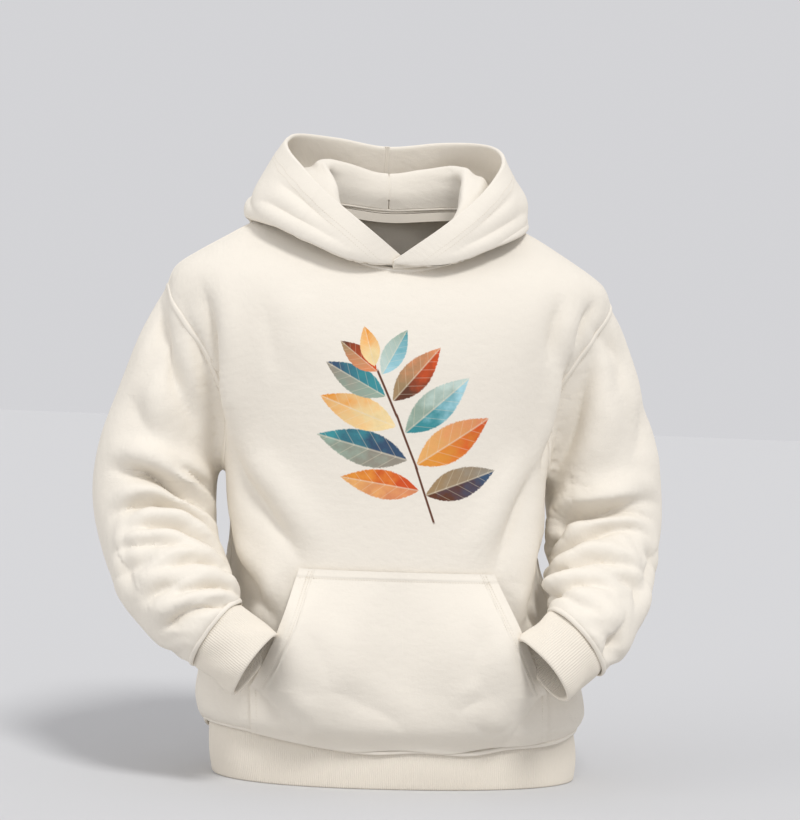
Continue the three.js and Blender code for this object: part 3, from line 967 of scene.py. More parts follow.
def make_brushed():
    """The inside of the fleece: its loops are brushed into a nap."""
    material, shader, across, along = new_material("brushed fleece", 0.97, 0.12)
    nap = cloudy(across, along, 0.004, 1.3, 4) - 0.5
    put(shader.inputs["Base Color"], shaded(cream(across, 0.97, 0.96, 0.95), 1 + nap * 0.12))
    bumped(shader, cloudy(across, along, 0.0022, 1.2, 4), 0.0011, 0.8)
    return material


def dress(piece, slot, *materials):
    """Gives a finished piece its materials, and lets it ride on the sweatshirt. slot is not used."""
    for material in materials:
        piece.data.materials.append(material)
    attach(piece, "root")
    return piece


cover = Cover(skin)
faces = triangles_of(skin)
at = np.hstack([points_of(skin), pattern])  # each point as it lies, and then as in the pattern
bpy.data.objects.remove(skin)

faces, _, at = cut_along(faces, at, off_neckline(at[:, 3:]))
faces, _, at = cut_along(faces, at, at[:, 5] - hem_height(in_pattern(at[:, :3])))
seams, panels = {}, {}
for name in ARMS:
    sleeve, faces, at = cut_along(faces, at, off_armhole(name, at[:, 3:]))
    _, sleeve, at = cut_along(sleeve, at, past_cuff_seam(name, at[:, 3:]))
    armhole, wrist = sorted(open_edges(sleeve)[:2], key=lambda chain: -at[chain, 2].mean())
    seams["armhole_" + name] = even(at[armhole, :3], closed=True)
    seams["wrist_" + name] = even(at[wrist, :3], closed=True)
    panels["sleeve_" + name] = sheet_of_cloth("arm_cloth_" + name, sleeve, at, sleeve_weave(name))
edges = open_edges(faces)
for chain in edges[:4]:
    height = at[chain, 2].mean()
    kind = "neck" if height > 0.62 else "hem" if height < 0.1 else None
    if kind:
        seams[kind] = even(at[chain, :3], closed=True)
back, front, at = cut_along(faces, at, at[:, 4])
on_edge = {point for chain in edges for point in chain}
for chain in open_edges(front):
    first = next(i for i, point in enumerate(chain) if point in on_edge)
    chain = chain[first:] + chain[:first]
    inside = [point for point in chain if point not in on_edge]
    jumps = np.nonzero(np.linalg.norm(np.diff(at[inside, :3], axis=0), axis=1) > 0.03)[0] + 1
    for run in np.split(inside, jumps):
        if len(run) > 20:
            place = at[run, :3].mean(axis=0)
            kind = "shoulder" if place[2] > 0.6 else "side"
            seams[f"{kind}_{'left' if place[0] > 0 else 'right'}"] = even(at[run, :3])
panels["body_front"] = sheet_of_cloth("front_cloth", front, at, body_weave(1))
panels["body_back"] = sheet_of_cloth("back_cloth", back, at, body_weave(-1))

fleece, brushed = make_fleece("fleece"), make_brushed()
for name, piece in panels.items():
    if name != "body_front":
        dress(piece, "fleece", fleece, brushed)
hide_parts("body_front")
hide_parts("body_back")
for name in ARMS:
    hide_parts(f"sleeve_{name}_upper", f"sleeve_{name}_lower")


# ---------------------------------------------------------------- the print on the front
# A sprig of eleven leaves, screen printed in the middle of the chest in soft washes of seven colours. The
# ink lies in the knit, so it has the same face as the bare cloth.

RED, AMBER, STRAW = (0.62, 0.085, 0.02), (0.74, 0.29, 0.045), (0.86, 0.66, 0.34)
TEAL, SKY, SLATE, BROWN = (0.05, 0.27, 0.30), (0.36, 0.60, 0.66), (0.045, 0.085, 0.15), (0.12, 0.045, 0.025)
# the leaves: where each starts, its turn in degrees, length, width, and colours from foot to tip
LEAVES = [
    (0.033, 0.362, 20, 0.104, 0.038, BROWN, SLATE),
    (0.030, 0.368, 172, 0.104, 0.036, RED, AMBER),
    (0.022, 0.398, 33, 0.118, 0.044, AMBER, RED),
    (0.016, 0.404, 166, 0.122, 0.044, SLATE, TEAL),
    (0.008, 0.436, 42, 0.112, 0.042, TEAL, SKY),
    (0.001, 0.444, 160, 0.108, 0.040, STRAW, AMBER),
    (-0.008, 0.474, 50, 0.094, 0.036, BROWN, RED),
    (-0.014, 0.480, 152, 0.090, 0.034, TEAL, SLATE),
    (-0.022, 0.506, 62, 0.068, 0.028, SKY, TEAL),
    (-0.026, 0.510, 142, 0.062, 0.026, RED, BROWN),
    (-0.030, 0.516, 106, 0.054, 0.024, STRAW, AMBER),
]
# the stem's three lengths: where each starts, its turn and its length
STEM = [(0.046, 0.328, 108, 0.075), (0.026, 0.392, 112, 0.075), (0.000, 0.455, 115, 0.066)]


def along_and_beside(across, along, x, z, degrees):
    """Each place measured along a leaf that starts at x, z, and sideways from it."""
    cosine, sine = math.cos(math.radians(degrees)), math.sin(math.radians(degrees))
    right, up = across - x, along - z
    return right * cosine + up * sine, up * cosine - right * sine


def sprig(across, along, colour):
    """The colour with the sprig over it: a dark stem, and leaves with a pale vein and one paler half."""
    wash = cloudy(across, along, 0.018, 1.0, 4)
    edge = (cloudy(across, along, 0.003, 1.0, 2) - 0.5) * 0.16
    for x, z, degrees, length in STEM:
        far, off = along_and_beside(across, along, x, z, degrees)
        inside = (far * (length - far) * 4000).between_0_and_1()
        mask = ((1.4 - abs(off) / 0.0013) * 1.5).between_0_and_1() * inside
        colour = mask.mix(colour, BROWN)
    for x, z, degrees, length, width, foot, tip in LEAVES:
        far, off = along_and_beside(across, along, x, z, degrees)
        share = (far / length).between_0_and_1()
        side = off / (width / 2)
        outline = share * (1 - share) * (5.4 - share * 2.0) - 0.1
        mask = ((outline - abs(side) + edge) * 14).between_0_and_1()
        vein = (1 - abs(side) * 14).between_0_and_1() * 0.55
        ribs = (1 - abs((share * 22 - abs(side) * 4).sine()) * 5).between_0_and_1() * 0.3
        fade = (share * 1.5 - 0.35 + (wash - 0.5) * 1.6).between_0_and_1()
        half = (side * 6 + 0.5).between_0_and_1() * 0.30
        leaf = fade.mix(foot, tip)
        leaf = half.mix(leaf, STRAW)
        leaf = (vein + ribs).between_0_and_1().mix(leaf, (0.80, 0.70, 0.52))
        colour = mask.mix(colour, shaded(leaf, 0.8 + wash * 0.4))
    return colour


dress(panels["body_front"], "fleece", make_fleece("printed fleece", sprig), brushed)


# ---------------------------------------------------------------- seams and stitches
# At each seam the turned-in edges of both panels lie under one of them and raise it, and the armholes are
# stitched down on both sides. The thread is cotton of the cloth's own colour.

STITCH, STITCH_PITCH, THREAD = 0.0026, 0.0034, 0.0004  # a stitch's length, their pitch, and the radius
BESIDE_SEAM, BESIDE_RIB = 0.0055, 0.0045  # from a seam's middle to its row of stitches


def outwards(spots):
    """The way out from the cloth at spots on it."""
    out = np.array([cover.nearest(spot)[1] for spot in spots])
    for _ in range(3):
        out[1:-1] = (out[:-2] + 2 * out[1:-1] + out[2:]) / 4
    return unit(out)


def run_round(spots):
    """The way that a closed line runs at each of its spots."""
    return unit(np.roll(spots, -1, axis=0) - np.roll(spots, 1, axis=0))


def closed_tube(name, rings):
    """A tube over rings of points whose last ring joins on to its first."""
    along, around = rings.shape[:2]
    piece = mesh_object(name, rings, ring_faces(along + 1, around) % (along * around))
    turn_outwards(piece)
    return piece


def swept(name, spots, out, outline, closed=False):
    """A strip run along a line. outline lists its corners: how far to the left and how far outwards."""
    run = run_round(spots) if closed else unit(np.gradient(spots, axis=0))
    left = unit(np.cross(out, run))
    up = np.cross(run, left)
    across, high = np.asarray(outline).T[:, None, :, None]
    rings = spots[:, None] + left[:, None] * across + up[:, None] * high
    return closed_tube(name, rings) if closed else capped_tube(name, rings)


def shade_round(piece):
    only(piece)
    bpy.ops.object.shade_smooth()


def seam_ridge(name, spots, width=0.007, height=0.0016, closed=False):
    """The low ridge that a seam's turned-in edges raise along a line on the cloth."""
    half = [(0.5, -0.6), (0.5, 0.2), (0.36, 0.82), (0.12, 1)]
    shape = [(-across, high) for across, high in half] + half[::-1]
    outline = [(width * across, height * high) for across, high in shape]
    piece = swept(name, spots, outwards(spots), outline, closed)
    shade_round(piece)
    return dress(piece, "fleece", fleece)


def sewn(name, spots, out, lift=0.0001):
    """A row of stitches along a line: each a short loop of thread that dips into the cloth."""
    ring = [(0.0, -0.5), (0.8, -0.34), (1, 0), (0.8, 0.34), (0.0, 0.5)]
    around = 6
    centres = even(spots, STITCH_PITCH, passes=1)[:-1]
    place, _ = nearest_on(spots, centres)
    run = unit(np.gradient(centres, axis=0))
    up = unit(out[place] - run * np.einsum("ij,ij->i", out[place], run)[:, None])
    left = np.cross(up, run)
    angle = np.linspace(0, 2 * math.pi, around, endpoint=False)
    radius, ahead = np.array(ring).T
    radius = np.maximum(radius, 0.15)
    one = np.stack(
        [
            np.repeat(ahead[:, None] * STITCH, around, 1),
            THREAD * radius[:, None] * np.cos(angle),
            THREAD * radius[:, None] * np.sin(angle) - (2 * ahead[:, None]) ** 2 * THREAD + lift,
        ],
        -1,
    )
    axes = np.stack([run, left, up], 1)
    points = centres[:, None, None] + np.einsum("rac,nck->nrak", one, axes)
    faces = ring_faces(len(ring), around)
    size = len(ring) * around
    ends = np.array([[0, 1, 2, 3], [0, 3, 4, 5]])
    ends = np.concatenate([ends[:, ::-1], ends + size - around])
    each = np.concatenate([faces, ends])
    faces = (each[None] + size * np.arange(len(centres))[:, None, None]).reshape(-1, 4)
    piece = mesh_object(name, points, faces)
    turn_outwards(piece)
    shade_round(piece)
    return dress(piece, "fleece", thread)


def sewn_beside(name, seam, distance):
    """A row of stitches all round, over the cloth beside a closed seam."""
    moved = seam + distance * unit(np.cross(outwards(seam), run_round(seam)))
    row = even([cover.nearest(spot)[0] for spot in moved], closed=True)
    row = np.concatenate([row, row[:1]])
    sewn(name, row, outwards(row))


def make_thread():
    material, shader, across, _ = new_material("thread", 0.7, 0.05)
    where = across.node("ShaderNodeTexCoord", None, None, output=3)
    twist = where.node("ShaderNodeTexNoise", None, {"Vector": where, "Scale": 900.0, "Detail": 2.0})
    put(shader.inputs["Base Color"], shaded(cream(across, 0.93, 0.92, 0.9), 0.9 + twist * 0.2))
    bumped(shader, twist, 0.0001, 0.6)
    return material


thread = make_thread()
for name in ARMS:
    armhole = seams["armhole_" + name]
    seam_ridge("armhole_seam_" + name, armhole, closed=True)
    for edge, distance in (("in", -BESIDE_SEAM), ("out", BESIDE_SEAM)):
        sewn_beside(f"armhole_stitches_{name}_{edge}", armhole, distance)
    seam_ridge("wrist_seam_" + name, seams["wrist_" + name], 0.006, 0.0018, closed=True)
    seam_ridge("shoulder_seam_" + name, seams["shoulder_" + name], 0.005, 0.0009)
    seam_ridge("side_seam_" + name, seams["side_" + name], 0.005, 0.0009)
seam_ridge("hem_seam", seams["hem"], 0.006, 0.0020, closed=True)


# ---------------------------------------------------------------- the front pocket
# One piece of the same fleece, sewn on along its top, its short low sides and the hem. Its slanted mouths
# are hemmed with a double layer, and the hands have stretched it off the body.

POCKET_TOP, POCKET_LOW, POCKET_NARROW, POCKET_WIDE = 0.268, 0.121, 0.120, 0.184
POCKET_ACROSS, POCKET_UP = 210, 120
SIDE_SHARE = 0.27  # of the pocket's rows, for the short sides below its mouths
POCKET_OFF = 0.0042  # from the front's outer face to the pocket's, where nothing lifts it
MOUTH_HEM = 0.0185
MOUTH_STITCHES = (0.0025, 0.0065)  # how far inside the hem's edge its rows of stitches run
HAND_ROOM, MIDDLE_ROOM, WRIST_ROOM = 0.005, 0.009, 0.038  # how far it is lifted, most of all at the mouths


def soften(grid, passes):
    """The grid of numbers with its unevenness smoothed away, and its edges kept."""
    grid = np.array(grid)
    for _ in range(passes):
        grid[1:-1] = (grid[:-2] + 2 * grid[1:-1] + grid[2:]) / 4
        grid[:, 1:-1] = (grid[:, :-2] + 2 * grid[:, 1:-1] + grid[:, 2:]) / 4
    return grid


def waves(points, size, depth, place):
    """How far soft unevenness of that size moves each point. Each place gives other waves."""
    shift = Vector((place, 0, 0))
    return depth * np.array([noise.noise(Vector(point) / size + shift) for point in points])


def pocket_grid():
    """The pocket's points as worn, the same laid flat, and its half width at each."""
    share, up = np.meshgrid(np.linspace(-1, 1, POCKET_ACROSS + 1), np.linspace(0, 1, POCKET_UP + 1))
    rise = np.clip((up - SIDE_SHARE) / (1 - SIDE_SHARE), 0, 1)
    foot = smooth_rows(HEM_SEAM, share * POCKET_WIDE + swing_at(HEM_LEVEL))[..., 0] + 0.001
    beside_mouth = POCKET_LOW + (POCKET_TOP - POCKET_LOW) * rise
    height = np.where(up < SIDE_SHARE, foot + (POCKET_LOW - foot) * up / SIDE_SHARE, beside_mouth)
    half = POCKET_WIDE + (POCKET_NARROW - POCKET_WIDE) * rise**0.92
    flat = np.stack([share * half, np.zeros_like(share), height], -1)
    placed = set_in_frame(flat)
    found = [cover.seen_from(-1, x, z)[0][1] for x, z in placed[..., [0, 2]].reshape(-1, 2)]
    depth = soften(np.reshape(found, share.shape), 12)
    from_mouth = (1 - np.abs(share)) * half
    lowest = POCKET_LOW - (POCKET_LOW - foot) * ramp(from_mouth, 0.0, 0.07)
    part = np.clip((height - lowest) / (POCKET_TOP - lowest), 0, 1)
    between = (1 - share**2) * np.sin(math.pi * np.clip((height - foot) / (POCKET_TOP - foot), 0, 1))
    beside_hand = np.sin(math.pi * np.abs(share) ** 1.6 / 1.2) * np.sin(math.pi * part) ** 1.2
    at_wrist = np.exp(-((from_mouth / 0.095) ** 2)) * np.sin(math.pi * part**0.80) ** 1.4
    room = HAND_ROOM * beside_hand + MIDDLE_ROOM * between + WRIST_ROOM * at_wrist
    at_mouth = ramp(up, SIDE_SHARE - 0.02, SIDE_SHARE + 0.03)
    hemmed = ramp(from_mouth, MOUTH_HEM + 0.001, MOUTH_HEM - 0.001) * at_mouth
    sunk = np.exp(-(((from_mouth - MOUTH_HEM + np.mean(MOUTH_STITCHES)) / 0.0025) ** 2)) * at_mouth
    top_fold = ramp(POCKET_TOP - height, 0.0105, 0.0080)
    placed[..., 1] = depth - POCKET_OFF - room - 0.0020 * hemmed - 0.0014 * top_fold + 0.0015 * sunk
    placed[..., 1] += waves(placed.reshape(-1, 3), 0.060, 0.0014, 3).reshape(share.shape)
    return placed, flat[..., [0, 2]], half


# soft folds where the hands push: depth, roll, half width and spots as before
POCKET_FOLDS = [
    (0.0020, 0.0015, 0.014, [(-0.085, 0.130), (-0.040, 0.112), (0.004, 0.092), (0.038, 0.062)]),
    (0.0015, 0.0015, 0.010, [(0.080, 0.100), (0.100, 0.112), (0.122, 0.122)]),
    (0.0020, 0.0015, 0.011, [(0.100, 0.090), (0.130, 0.074), (0.158, 0.090)]),
    (0.0020, 0.0015, 0.011, [(-0.130, 0.104), (-0.106, 0.086), (-0.102, 0.060)]),
    (0.0020, 0.0020, 0.016, [(-0.110, 0.205), (-0.084, 0.165), (-0.074, 0.120)]),
    (0.0020, 0.0020, 0.016, [(0.120, 0.215), (0.102, 0.170), (0.096, 0.130)]),
]


def row_at(points, place):
    """The point at a place that isn't a whole number in a row of points."""
    i = int(np.clip(math.floor(place), 0, len(points) - 2))
    return points[i] + (place - i) * (points[i + 1] - points[i])


def sew_onto(piece_cover, name, rows, height=0.0):
    """Rows of stitches on a piece that lies over the body, at a height above its sheet."""
    for i, row in enumerate(rows):
        row = even(row)
        out = np.array([piece_cover.nearest(spot)[1] for spot in row])
        sewn(f"{name}_{i + 1}", row + out * height, out, lift=0.0002)


def build_pocket():
    placed, flat, half = pocket_grid()
    pocket = mesh_object("pocket_cloth", placed, ring_faces(*placed.shape[:2], closed=False))
    fold_each(pocket, -1, POCKET_FOLDS)
    placed = points_of(pocket).reshape(placed.shape)
    on_pocket = Cover(pocket)
    lay_flat(pocket, flat)
    thicken(pocket)
    low = round(SIDE_SHARE * POCKET_UP)
    rows = []
    for side in (-1, 1):
        for inset in MOUTH_STITCHES:
            share = 1 - (MOUTH_HEM - inset) / half[low:, 0]
            column = POCKET_ACROSS / 2 * (1 - side * share)
            rows.append([row_at(placed[low + i], place) for i, place in enumerate(column)])
        rows.append(placed[2 : low + 1, 4 if side < 0 else -5])
    rows.append([row_at(placed[:, i], POCKET_UP - 6.5) for i in range(4, POCKET_ACROSS - 3)])
    sew_onto(on_pocket, "pocket_stitches", rows)
    return pocket


pocket = dress(build_pocket(), "fleece", fleece, brushed)
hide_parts("pocket")


# ---------------------------------------------------------------- hem band and cuffs
# Tubes of rib knit, folded double at the open end and sewn to the fleece at the other. The ribs run up
# and down, 2.6 mm apart. They grip the waist and the wrists, so they stand a little uneven.

RIB_PITCH, RIB_DEPTH, RIB_ROW, RIB_THICKNESS = 0.0026, 0.0003, 0.0012, 0.0048
RIB_POINTS = 5  # round each rib
GIRTH_HEIGHT = 0.03  # where the hem band's girth is measured
CUFF_OVERLAP = 0.006  # how far a cuff reaches up inside its sleeve


def rib_profile(length):
    """Down the outside, round the fold and up the inside: how far along and how far in."""
    bend = RIB_THICKNESS / 2
    down = [(along, 0.0) for along in np.linspace(0, length - bend, 14)]
    round_fold = [
        (length - bend + bend * math.cos(angle), bend + bend * math.sin(angle))
        for angle in np.radians((-60, -30, 0, 30, 60))
    ]
    up = [(along, RIB_THICKNESS) for along in np.linspace(length - bend, 0, 8)]
    return np.array(down + round_fold + up)


def ribbed(name, ring_at, inwards_at, length, girth):
    """A folded band of rib. Some way along it, for shares of its girth, ring_at gives the points round it
    and inwards_at the way in."""
    ribs = round(girth / RIB_PITCH)
    share = np.arange(ribs * RIB_POINTS) / (ribs * RIB_POINTS)
    wave = np.cos(2 * math.pi * ribs * share)
    raised = RIB_DEPTH * (np.sign(wave) * np.abs(wave) ** 0.7)
    profile = rib_profile(length)
    rings = []
    for along, depth in profile:
        outer_side = math.cos(math.pi * depth / RIB_THICKNESS)
        inward = (depth - raised * outer_side)[:, None] * inwards_at(along, share)
        rings.append(ring_at(along, share) + inward)
    piece = closed_tube(name, np.array(rings))
    lay_flat(piece, np.stack(np.broadcast_arrays(share * girth, profile[:, :1]), -1))
    shade_round(piece)
    return piece


def build_hem_band():
    turn = np.linspace(0, 2 * math.pi, 4001)
    far = distance_along(section(BAND, turn, np.full(len(turn), GIRTH_HEIGHT)))
    top = BAND[-1][0]

    def angle(share):
        return np.interp(share * far[-1], far, turn)

    def ring_at(along, share):
        points = section(BAND, angle(share), np.full(len(share), top - along))
        slack = 0.0016 * np.sin(angle(share) * 5 + 1) + 0.0012 * np.sin(angle(share) * 11)
        points[:, :2] *= (1 + slack / 0.2 * math.sin(math.pi * min(along / top, 1)))[:, None]
        return set_in_frame(points)

    def inwards_at(along, share):
        return np.cross((0, 0, 1), run_round(section(BAND, angle(share), np.full(len(share), top - along))))

    return ribbed("hem_rib", ring_at, inwards_at, top, far[-1])


def build_cuff(name):
    start, end = cuff_line(**ARMS[name])
    run = unit(end - start)
    wide, deep = across_arm(run)
    start = start - CUFF_OVERLAP * run
    length = np.linalg.norm(end - start)
    girth = 2 * math.pi * CUFF_RADIUS * (1 + CUFF_DEPTH) / 2

    def spokes(share):
        angle = 2 * math.pi * share[:, None]
        return wide * np.cos(angle) + deep * CUFF_DEPTH * np.sin(angle)

    def ring_at(along, share):
        angle = 2 * math.pi * share
        tuck = 1 - 0.05 * math.exp(-((along / 0.008) ** 2)) + 0.012 * math.sin(3 * math.pi * along / length)
        uneven = 0.0012 * np.sin(3 * angle + 1) + 0.0008 * np.sin(5 * angle + 9 * along / length)
        radius = CUFF_RADIUS * tuck + uneven
        return set_in_frame(start + run * along + spokes(share) * radius[:, None])

    def inwards_at(along, share):
        return -unit(spokes(share))

    return ribbed("wrist_rib_" + name, ring_at, inwards_at, length, girth)


def make_rib():
    material, shader, across, along = new_material("rib", 0.9, 0.06)
    colour = cream(across, 0.985, 0.975, 0.96)
    # painted shade and light: the colour darkens a little in the grooves between the ribs and lightens on
    # their crests
    groove = (across * (2 * math.pi / RIB_PITCH) + math.pi / 2).sine()
    patchy = cloudy(across, along, 0.01, 0.6) - 0.5
    put(shader.inputs["Base Color"], shaded(colour, 0.99 + groove * 0.012 + patchy * 0.05))
    loops = abs((along * (math.pi / RIB_ROW)).sine())
    bumped(shader, loops * 0.5 + cloudy(across, along, 0.0009, 1.0, 2), 0.0002, 0.8)
    return material


rib = make_rib()
hem_band = dress(build_hem_band(), "rib", rib)
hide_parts("hem_band")
for name in ARMS:
    cuff = dress(build_cuff(name), "rib", rib)
    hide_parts("cuff_" + name)
sewn_beside("hem_stitches", seams["hem"], BESIDE_RIB)
for name in ARMS:
    sewn_beside("wrist_stitches_" + name, seams["wrist_" + name], BESIDE_RIB)


# ---------------------------------------------------------------- the hood
# Two halves of doubled fleece, joined down the middle of the back. It lies open behind the neck: from its
# seam it rises to a soft inner roll, falls outwards over the shoulders to a fold, and rises to its rim.

# stations round the neck, from the front to the middle of the back: inner roll, outer fold and rim
HOOD = [
    ((-0.010, -0.096, 0.643), (-0.010, -0.099, 0.645), (-0.010, -0.101, 0.648)),
    ((0.038, -0.084, 0.666), (0.058, -0.108, 0.660), (0.046, -0.104, 0.690)),
    ((0.074, -0.066, 0.712), (0.114, -0.092, 0.680), (0.092, -0.082, 0.730)),
    ((0.082, -0.036, 0.744), (0.156, -0.062, 0.700), (0.121, -0.050, 0.764)),
    ((0.091, -0.004, 0.766), (0.181, -0.012, 0.709), (0.137, -0.012, 0.789)),
    ((0.090, 0.028, 0.779), (0.182, 0.044, 0.700), (0.136, 0.030, 0.808)),
    ((0.074, 0.058, 0.784), (0.160, 0.100, 0.668), (0.117, 0.074, 0.822)),
    ((0.042, 0.078, 0.780), (0.098, 0.136, 0.630), (0.068, 0.106, 0.824)),
    ((0.0, 0.084, 0.774), (0.0, 0.150, 0.612), (0.0, 0.118, 0.817)),
]
NECK_MIDDLE = PLACE - (0, NECK_FORWARD, 0)
# how far round the neck each station is sewn, in degrees from the front
HOOD_SEWN = (-6, 28, 55, 76, 92, 110, 127, 150, 180)
HOOD_THICKNESS = 0.0056
HOOD_LAP = 0.005  # the left half laps over the right one at the front
LEFT_FOLD = 0.94  # the left half's outer fold lies this much closer in
HOOD_ROUND, HOOD_UP = 110, 84
RESTING = range(1, 6)  # the stations whose fold rests on the shoulder
RIM_STITCHES = (0.030, 0.024)  # from the rim
RIM_FROM, MIDDLE_FROM = 4, 6  # the rim's stitches leave out the lap, and the middle seam the neck's seam


def cloth_below(x, y):
    """The spot on the shoulders straight below x, y."""
    return np.array(cover.tree.ray_cast(Vector((x, y, 1)), Vector((0, 0, -1)))[0])


def on_neckline(degrees):
    """A spot on the neck's seam, on the cloth."""
    angle = math.radians(degrees)
    reach = 1 / math.hypot(math.sin(angle) / NECK_HALF_WIDTH, math.cos(angle) / NECK_HALF_DEPTH)
    return cloth_below(NECK_MIDDLE[0] + reach * math.sin(angle), NECK_MIDDLE[1] - reach * math.cos(angle))


def hood_grid(side):
    """One half of the hood, each row of points running from the neck's seam to the rim."""
    rows = []
    for i, (station, degrees) in enumerate(zip(HOOD, HOOD_SEWN)):
        seam = on_neckline(side * degrees) + (0, 0, 0.0015)
        spots = np.array(station)
        spots[:, 0] *= side
        if side > 0:
            spots[1, 0] *= LEFT_FOLD
        spots += PLACE
        if i in RESTING:
            gap = spots[1, 2] - cloth_below(*spots[1, :2])[2] - HOOD_THICKNESS
            spots[1, 2] -= np.clip(gap, -0.012, 0.015)
        if i == 0:
            seam[1] -= side * HOOD_LAP
            spots[:, 1] -= side * HOOD_LAP
        rows.append((i, *seam, *spots.ravel()))
    past = np.array(rows[-2][1:]).reshape(4, 3)
    past[:, 0] = 2 * PLACE[0] - past[:, 0]
    rows.append((len(HOOD), *past.ravel()))
    lines = smooth_rows(rows, np.linspace(0, len(HOOD) - 1, HOOD_ROUND + 1)).reshape(-1, 4, 3)
    seam, roll, crease, rim = np.moveaxis(lines, 1, 0)
    outward = unit((crease - roll) * (1, 1, 0) + 1e-6)
    width = np.linalg.norm(crease - roll, axis=1, keepdims=True)
    stand = np.linalg.norm(roll - seam, axis=1, keepdims=True)
    inner = (seam + roll) / 2 - 0.16 * stand * outward
    over = roll + 0.3 * (crease - roll) + (0, 0, 0.12) * np.minimum(width, 0.09)
    to_back = ramp(np.linspace(0, 1, HOOD_ROUND + 1), 0.60, 0.90)[:, None]
    before = crease + (0.20 - 0.06 * to_back) * (over - crease) + outward * (0.07 - 0.15 * to_back) * width
    turned = crease + 0.05 * (rim - crease)
    after = crease + 0.24 * (rim - crease) + outward * 0.09 * width
    under = crease + 0.60 * (rim - crease) + outward * 0.06 * width
    lines = np.stack([seam, inner, roll, over, before, turned, after, under, rim], axis=1)
    up = np.linspace(0, lines.shape[1] - 1, HOOD_UP + 1)
    return np.array([smooth_rows([(i, *spot) for i, spot in enumerate(line)], up) for line in lines])


# folds of the hood, as shares round the neck and up the cloth: depth, roll, half width, spots
HOOD_FOLDS = [
    (0.005, 0.004, 0.011, [(0.12, 0.74), (0.26, 0.78), (0.40, 0.79), (0.52, 0.77)]),
    (0.004, 0.003, 0.009, [(0.18, 0.84), (0.32, 0.88), (0.46, 0.88)]),
    (0.005, 0.004, 0.011, [(0.42, 0.68), (0.52, 0.74), (0.62, 0.80), (0.70, 0.90)]),
    (0.006, 0.005, 0.013, [(0.60, 0.66), (0.74, 0.73), (0.88, 0.76), (0.98, 0.76)]),
    (0.005, 0.005, 0.014, [(0.68, 0.85), (0.82, 0.89), (0.96, 0.88)]),
    (0.004, 0.004, 0.012, [(0.56, 0.78), (0.70, 0.82), (0.84, 0.82)]),
    (0.005, 0.004, 0.010, [(0.30, 0.17), (0.45, 0.20), (0.62, 0.20), (0.80, 0.18)]),
    (0.005, 0.004, 0.010, [(0.25, 0.34), (0.40, 0.37), (0.58, 0.37), (0.78, 0.38)]),
    (0.004, 0.003, 0.009, [(0.50, 0.28), (0.66, 0.30), (0.84, 0.28)]),
]


def free_cloth():
    """1 in the hood's free cloth and 0 at the sewn edge and the middle of the back, for each point."""
    up = np.linspace(0, 1, HOOD_UP + 1)
    along = np.linspace(0, 1, HOOD_ROUND + 1)[:, None]
    return (ramp(up, 0.02, 0.2) * ramp(along, 1, 0.93) * ramp(along, 0, 0.1)).reshape(-1, 1)


def build_hood(name, side):
    grid = hood_grid(side)
    faces = ring_faces(*grid.shape[:2], closed=False)
    hood = mesh_object("hood_half_" + name, grid, faces[:, ::-1] if side > 0 else faces)
    points = points_of(hood)
    points += normals_of(hood) * waves(points, 0.06, 0.0035, 7 + side)[:, None] * free_cloth()
    move_to(hood, points)
    for depth, roll, width, spots in HOOD_FOLDS:
        points = points_of(hood)
        shape = points.reshape(grid.shape)
        on_cloth = [shape[round(s * HOOD_ROUND), round(t * HOOD_UP)] for s, t in spots]
        line, out = Cover(hood).line(on_cloth)
        fold(points, normals_of(hood), line, out, depth, roll, width)
        move_to(hood, points)
    shape = points_of(hood).reshape(grid.shape)
    on_hood = Cover(hood)
    flat = np.zeros((HOOD_ROUND + 1, HOOD_UP + 1, 2))
    flat[1:, :, 0] = np.cumsum(np.linalg.norm(np.diff(shape, axis=0), axis=2), axis=0)
    flat[:, 1:, 1] = np.cumsum(np.linalg.norm(np.diff(shape, axis=1), axis=2), axis=1)
    lay_flat(hood, flat)
    finish_with(hood, "SOLIDIFY", thickness=HOOD_THICKNESS, offset=0)
    finish_with(hood, "SUBSURF", levels=1, render_levels=1)
    shade_round(hood)
    rows = []
    for inset in RIM_STITCHES:
        row = []
        for line in shape[RIM_FROM:, ::-1]:
            row.append(line[np.searchsorted(distance_along(line)[1:], inset)])
        rows.append(row)
    sew_onto(on_hood, "hood_stitches_" + name, rows, HOOD_THICKNESS / 2)
    return hood, shape


def build_hood_seam(middle):
    """The seam of the two halves, down the middle of the back: a groove between two low ridges."""
    middle = even(middle)
    out = unit(np.cross(np.diff(middle, axis=0), (-1, 0, 0)))
    out = np.concatenate([out, out[-1:]])
    ridge = [(0.003, -0.001), (0.003, 0.0022), (0.001, 0.0031)]
    outline = [(-across, high) for across, high in ridge] + [(0, 0.0026)] + ridge[::-1]
    return swept("hood_seam", middle, out, outline)


doubled = make_fleece("hood fleece")
for name, arm in ARMS.items():
    hood, shape = build_hood(name, arm["side"])
    dress(hood, "hood_fleece", doubled)
    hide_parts("hood_" + name)
    if name == "left":
        dress(build_hood_seam(shape[-1, MIDDLE_FROM:]), "hood_fleece", doubled)


# ---------------------------------------------------------------- the neck's seam and its tape
# The hood, the front and the back meet in one thick seam, stitched down to the body all round. Behind the
# neck its raw edge is covered inside by a flat cotton tape, 12 mm wide.

TAPE_FROM = -0.02  # how far before the shoulders' middle the tape's ends lie
TAPE_OUTLINE = [(-0.006, 0), (-0.0055, 0.0012), (0.0055, 0.0012), (0.006, 0)]


def towards_neck(spots):
    """The level way from spots to the middle of the neck."""
    return unit((NECK_MIDDLE - spots) * (1, 1, 0))


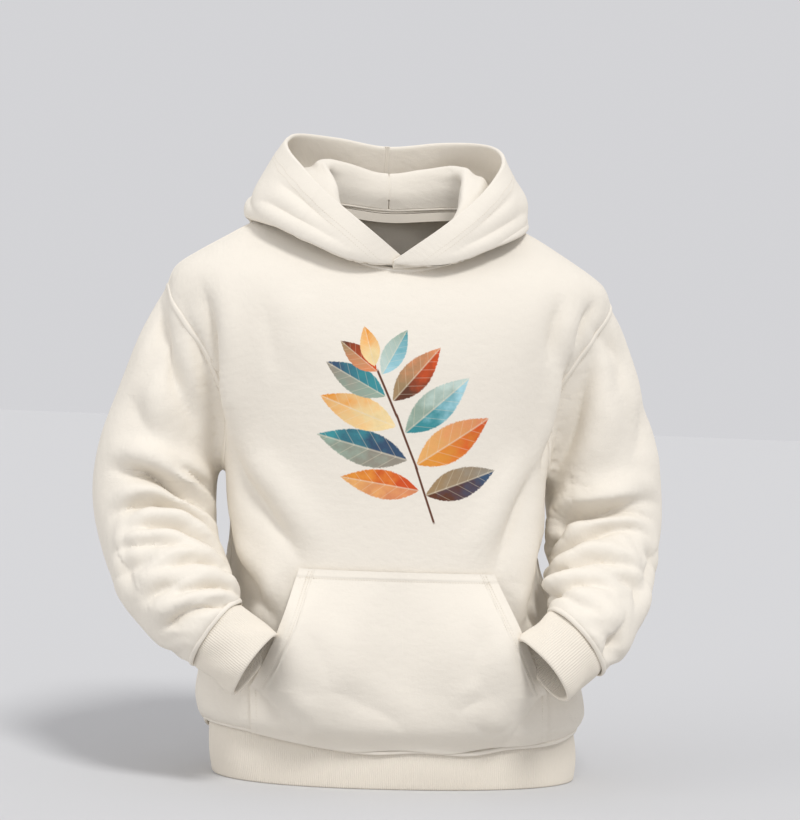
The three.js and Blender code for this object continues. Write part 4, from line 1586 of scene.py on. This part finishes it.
neck = seams["neck"]
seam_ridge("neck_seam", neck, 0.0065, 0.0022, closed=True)
taped = neck[:, 1] > PLACE[1] + TAPE_FROM
start = np.argmax(taped & ~np.roll(taped, 1))
behind = np.roll(neck, -start, axis=0)[: taped.sum()]
tape_line = even(behind + towards_neck(behind) * 0.005 - (0, 0, 0.010))
tape = dress(swept("neck_tape", tape_line, towards_neck(tape_line), TAPE_OUTLINE), "rib", rib)
sewn_beside("neck_stitches", neck, BESIDE_SEAM)


# ---------------------------------------------------------------- studio
# A plain pale floor and an even, pale light from all round. A broad soft sun stands high to the right of
# the camera, and a weak one fills in from the left.

# the lamps: how far each is turned to the right and raised, in degrees, its strength and its breadth
LAMPS = {
    "key": (22, 52, 1.66, 14),
    "fill": (-62, 22, 0.58, 45),
}
CAMERA_TURN, CAMERA_TILT, CAMERA_FAR, CAMERA_LENS = -6.5, 2.3, 2.6, 89

bpy.ops.mesh.primitive_circle_add(vertices=64, radius=60, fill_type="NGON", location=(0, 0, 0))
floor = bpy.context.object
floor.name = "floor"
pale = bpy.data.materials.new("floor")
pale.use_nodes = True
principled = pale.node_tree.nodes["Principled BSDF"]
principled.inputs["Base Color"].default_value = (0.60, 0.60, 0.605, 1)
principled.inputs["Roughness"].default_value = 0.9
principled.inputs["Specular IOR Level"].default_value = 0.1
floor.data.materials.append(pale)

world = bpy.data.worlds.new("studio")
world.use_nodes = True
world.node_tree.nodes["Background"].inputs["Color"].default_value = (0.655, 0.655, 0.675, 1)
world.node_tree.nodes["Background"].inputs["Strength"].default_value = 1.0
bpy.context.scene.world = world

for name, (turned, raised, strength, breadth) in LAMPS.items():
    bpy.ops.object.light_add(type="SUN", location=(0, 0, 3))
    lamp = bpy.context.object
    lamp.name = name
    lamp.data.energy = strength
    lamp.data.angle = math.radians(breadth)
    turn, rise = math.radians(turned), math.radians(raised)
    towards = Vector((math.sin(turn) * math.cos(rise), -math.cos(turn) * math.cos(rise), math.sin(rise)))
    lamp.rotation_euler = towards.to_track_quat("Z", "Y").to_euler()

target = Vector((0.0171, 0.0173, 0.465))
turn = math.radians(CAMERA_TURN)
camera = bpy.data.objects.new("camera", bpy.data.cameras.new("camera"))
bpy.context.scene.collection.objects.link(camera)
camera.location = target + CAMERA_FAR * Vector((math.sin(turn), -math.cos(turn), 0))
camera.rotation_euler = (target - camera.location).to_track_quat("-Z", "Y").to_euler()
camera.rotation_euler.rotate_axis("Z", math.radians(CAMERA_TILT))
camera.data.lens = CAMERA_LENS
bpy.context.scene.camera = camera
bpy.context.scene.view_settings.view_transform = "Standard"
